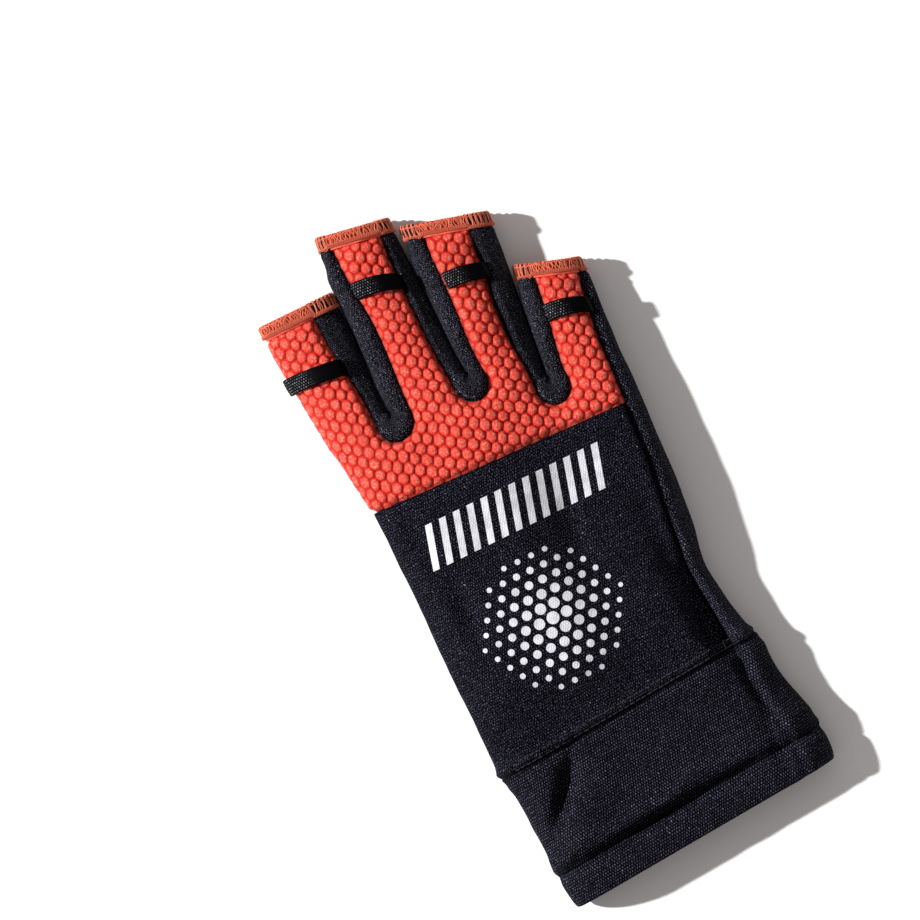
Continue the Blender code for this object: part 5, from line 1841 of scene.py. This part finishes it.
def cover_stitch(name, offset, material):
    """A row of short stitches along the wrist seam, sunk at their ends."""
    count = round((STITCH_RIGHT - STITCH_LEFT) / STITCH_PITCH)
    t = np.linspace(0, 1, 6)
    x = STITCH_LEFT + (np.arange(count)[:, None] + 0.80 * t[None]) * STITCH_PITCH
    x = x + 0.05 * MM * np.sin(np.arange(count) * 3.1)[:, None]
    y = wrist_line(x) + offset + 0.06 * MM * np.sin(np.arange(count) * 1.9)[:, None]
    points, normals = on_back(np.stack([x.ravel(), y.ravel()], 1))
    rise = np.tile(0.20 * MM * np.sin(math.pi * t) ** 0.6 - 0.10 * MM, count)
    points = points + normals * rise[:, None]
    shape = (count, len(t), 3)
    threads = tubes(points.reshape(shape), normals.reshape(shape), STITCH_RADIUS)
    thread_piece(name, [threads], material, "black_knit")


def print_shapes():
    """Outlines of the print in the flat pattern: a row of slanted bars, and a disc of dots."""
    shapes = []
    for i in range(BAR_COUNT):
        x = BAR_START + BAR_STEP * i
        shapes.append(np.array([(x, BAR_LOW), (x + BAR_WIDTH, BAR_LOW),
                                (x + BAR_WIDTH + BAR_LEAN, BAR_HIGH), (x + BAR_LEAN, BAR_HIGH)]))
    turn = np.linspace(0, 2 * math.pi, DOT_CORNERS, endpoint=False)
    for row in range(-6, 7):
        for place in range(-6, 7):
            spot = np.array([(place + 0.5 * (row % 2)) * DOT_STEP, row * DOT_STEP * 0.87])
            far = np.hypot(*spot) / DISC_RADIUS
            if far > 1:
                continue
            radius = DOT_RADIUS - DOT_SHRINK * far
            shapes.append(np.array(DISC_CENTRE) + spot
                          + radius * np.stack([np.cos(turn), np.sin(turn)], 1))
    return shapes


def print_pieces(material):
    """The print: thin plates that follow the cloth."""
    points, faces, places = [], [], []
    for shape in print_shapes():
        centre = shape.mean(axis=0)
        start = len(points)
        if len(shape) == 4:
            steps, wide = BAR_ROWS, BAR_COLUMNS
            a = np.linspace(0, 1, steps)[:, None]
            left, right = (shape[i] + (shape[k] - shape[i]) * a for i, k in ((0, 3), (1, 2)))
            b = np.linspace(0, 1, wide)[None, :, None]
            flat = (left[:, None] * (1 - b) + right[:, None] * b).reshape(-1, 2)
            inner_faces = open_grid(steps, wide).tolist()
            edge = ([i * wide for i in range(steps)][::-1] + list(range(1, wide))
                    + [i * wide + wide - 1 for i in range(1, steps)]
                    + [(steps - 1) * wide + i for i in range(wide - 2, 0, -1)])
        else:
            rings = [centre[None]] + [centre + (shape - centre) * k for k in (0.5, 1.0)]
            flat = np.concatenate(rings)
            count = len(shape)
            inner_faces = [[0, 1 + i, 1 + (i + 1) % count] for i in range(count)]
            inner_faces += [[1 + i, 1 + count + i, 1 + count + (i + 1) % count,
                             1 + (i + 1) % count] for i in range(count)]
            edge = [1 + count + i for i in range(count)]
        placed, normals = on_back(flat)
        top = placed + normals * PRINT_PROUD
        base = placed[edge] - normals[edge] * PRINT_PROUD
        faces += [[start + i for i in f] for f in inner_faces]
        foot = start + len(flat)
        for k in range(len(edge)):
            m = (k + 1) % len(edge)
            faces.append([start + edge[m], start + edge[k], foot + k, foot + m])
        points += top.tolist() + base.tolist()
        places += flat.tolist() + flat[edge].tolist()
    obj = new_piece("back_print", points, faces, material, np.array(places))
    obj.data.set_sharp_from_angle(angle=PRINT_CREASE)
    finished(obj, "black_knit")


# The set

def camera():
    """The photograph's camera, straight above the glove."""
    data = bpy.data.cameras.new("camera")
    data.sensor_width = 36
    data.lens = 36 * (CAMERA_HEIGHT - 0.010) / CAMERA_WIDTH
    data.clip_end = 20
    obj = bpy.data.objects.new("camera", data)
    obj.location = (*CAMERA_PLACE, CAMERA_HEIGHT)
    obj.rotation_euler = (0, 0, math.radians(CAMERA_LEAN))
    link(obj)
    bpy.context.scene.camera = obj


def studio():
    """Soft pale surroundings, and a low lamp from the left that throws the photograph's shadow."""
    world = bpy.data.worlds.new("studio")
    world.use_nodes = True
    colour, strength = world.node_tree.nodes["Background"].inputs[:2]
    colour.default_value = (*WORLD_COLOUR, 1)
    strength.default_value = WORLD_STRENGTH
    bpy.context.scene.world = world
    lamp = bpy.data.lights.new("key", "SUN")
    lamp.energy = KEY_POWER
    lamp.angle = math.radians(KEY_SPREAD)
    turn, rise = math.radians(KEY_DIRECTION + CAMERA_LEAN), math.radians(KEY_HEIGHT)
    place = Vector((math.cos(turn) * math.cos(rise), math.sin(turn) * math.cos(rise),
                    math.sin(rise)))
    key = bpy.data.objects.new("key", lamp)
    key.location = place
    key.rotation_euler = place.to_track_quat("Z", "Y").to_euler()
    link(key)
    bpy.context.scene.view_settings.view_transform = "Standard"
    rows = 24
    line = np.linspace(-FLOOR_HALF, FLOOR_HALF, rows)
    places = np.stack(np.meshgrid(line, line), -1).reshape(-1, 2)
    mesh = bpy.data.meshes.new("floor")
    mesh.from_pydata([(x, y, 0.0) for x, y in places], [], open_grid(rows, rows).tolist())
    mesh.materials.append(floor_material())
    floor = bpy.data.objects.new("floor", mesh)
    link(floor)


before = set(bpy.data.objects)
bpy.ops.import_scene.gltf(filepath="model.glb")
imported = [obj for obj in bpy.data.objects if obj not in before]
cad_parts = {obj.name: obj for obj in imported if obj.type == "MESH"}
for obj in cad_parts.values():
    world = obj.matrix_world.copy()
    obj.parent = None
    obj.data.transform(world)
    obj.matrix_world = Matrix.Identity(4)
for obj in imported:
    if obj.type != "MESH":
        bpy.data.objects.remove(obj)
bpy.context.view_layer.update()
stall_low, stall_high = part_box("thumb_stall")
tip_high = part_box("tip_binding_thumb")[1]
SHIFT = np.array([(stall_low.x + stall_high.x) / 2 - thumb_centre(),
                  tip_high.y - thumb_tip_y(), 0.0])
camera()
studio()
coral = coral_material()
knit, cuff_knit, side_knit, fine_knit = (knit_material(name, *row) for name, row in KNITS.items())
orange_thread, black_thread = (thread_material(name, *row) for name, row in THREADS.items())
bound = binding_material()
elastic = elastic_material()
silver = print_material()

knuckle_panel(coral)
back_panel(knit)
palm_panel(side_knit)
cuff(cuff_knit)
cuff_hem(cuff_knit)
thumb_stall(knit)
thumb_binding(bound, orange_thread)
for number, slot_name in enumerate(SLOT_NAMES):
    fourchette(slot_name, STALLS[number:number + 2], fine_knit)
for stall_name in STALLS:
    tip_binding(stall_name, bound, orange_thread)
    finger_loop(stall_name, elastic)
for row_name, row_offset in STITCH_ROWS.items():
    cover_stitch(f"wrist_stitches_{row_name}", row_offset, black_thread)
print_pieces(silver)
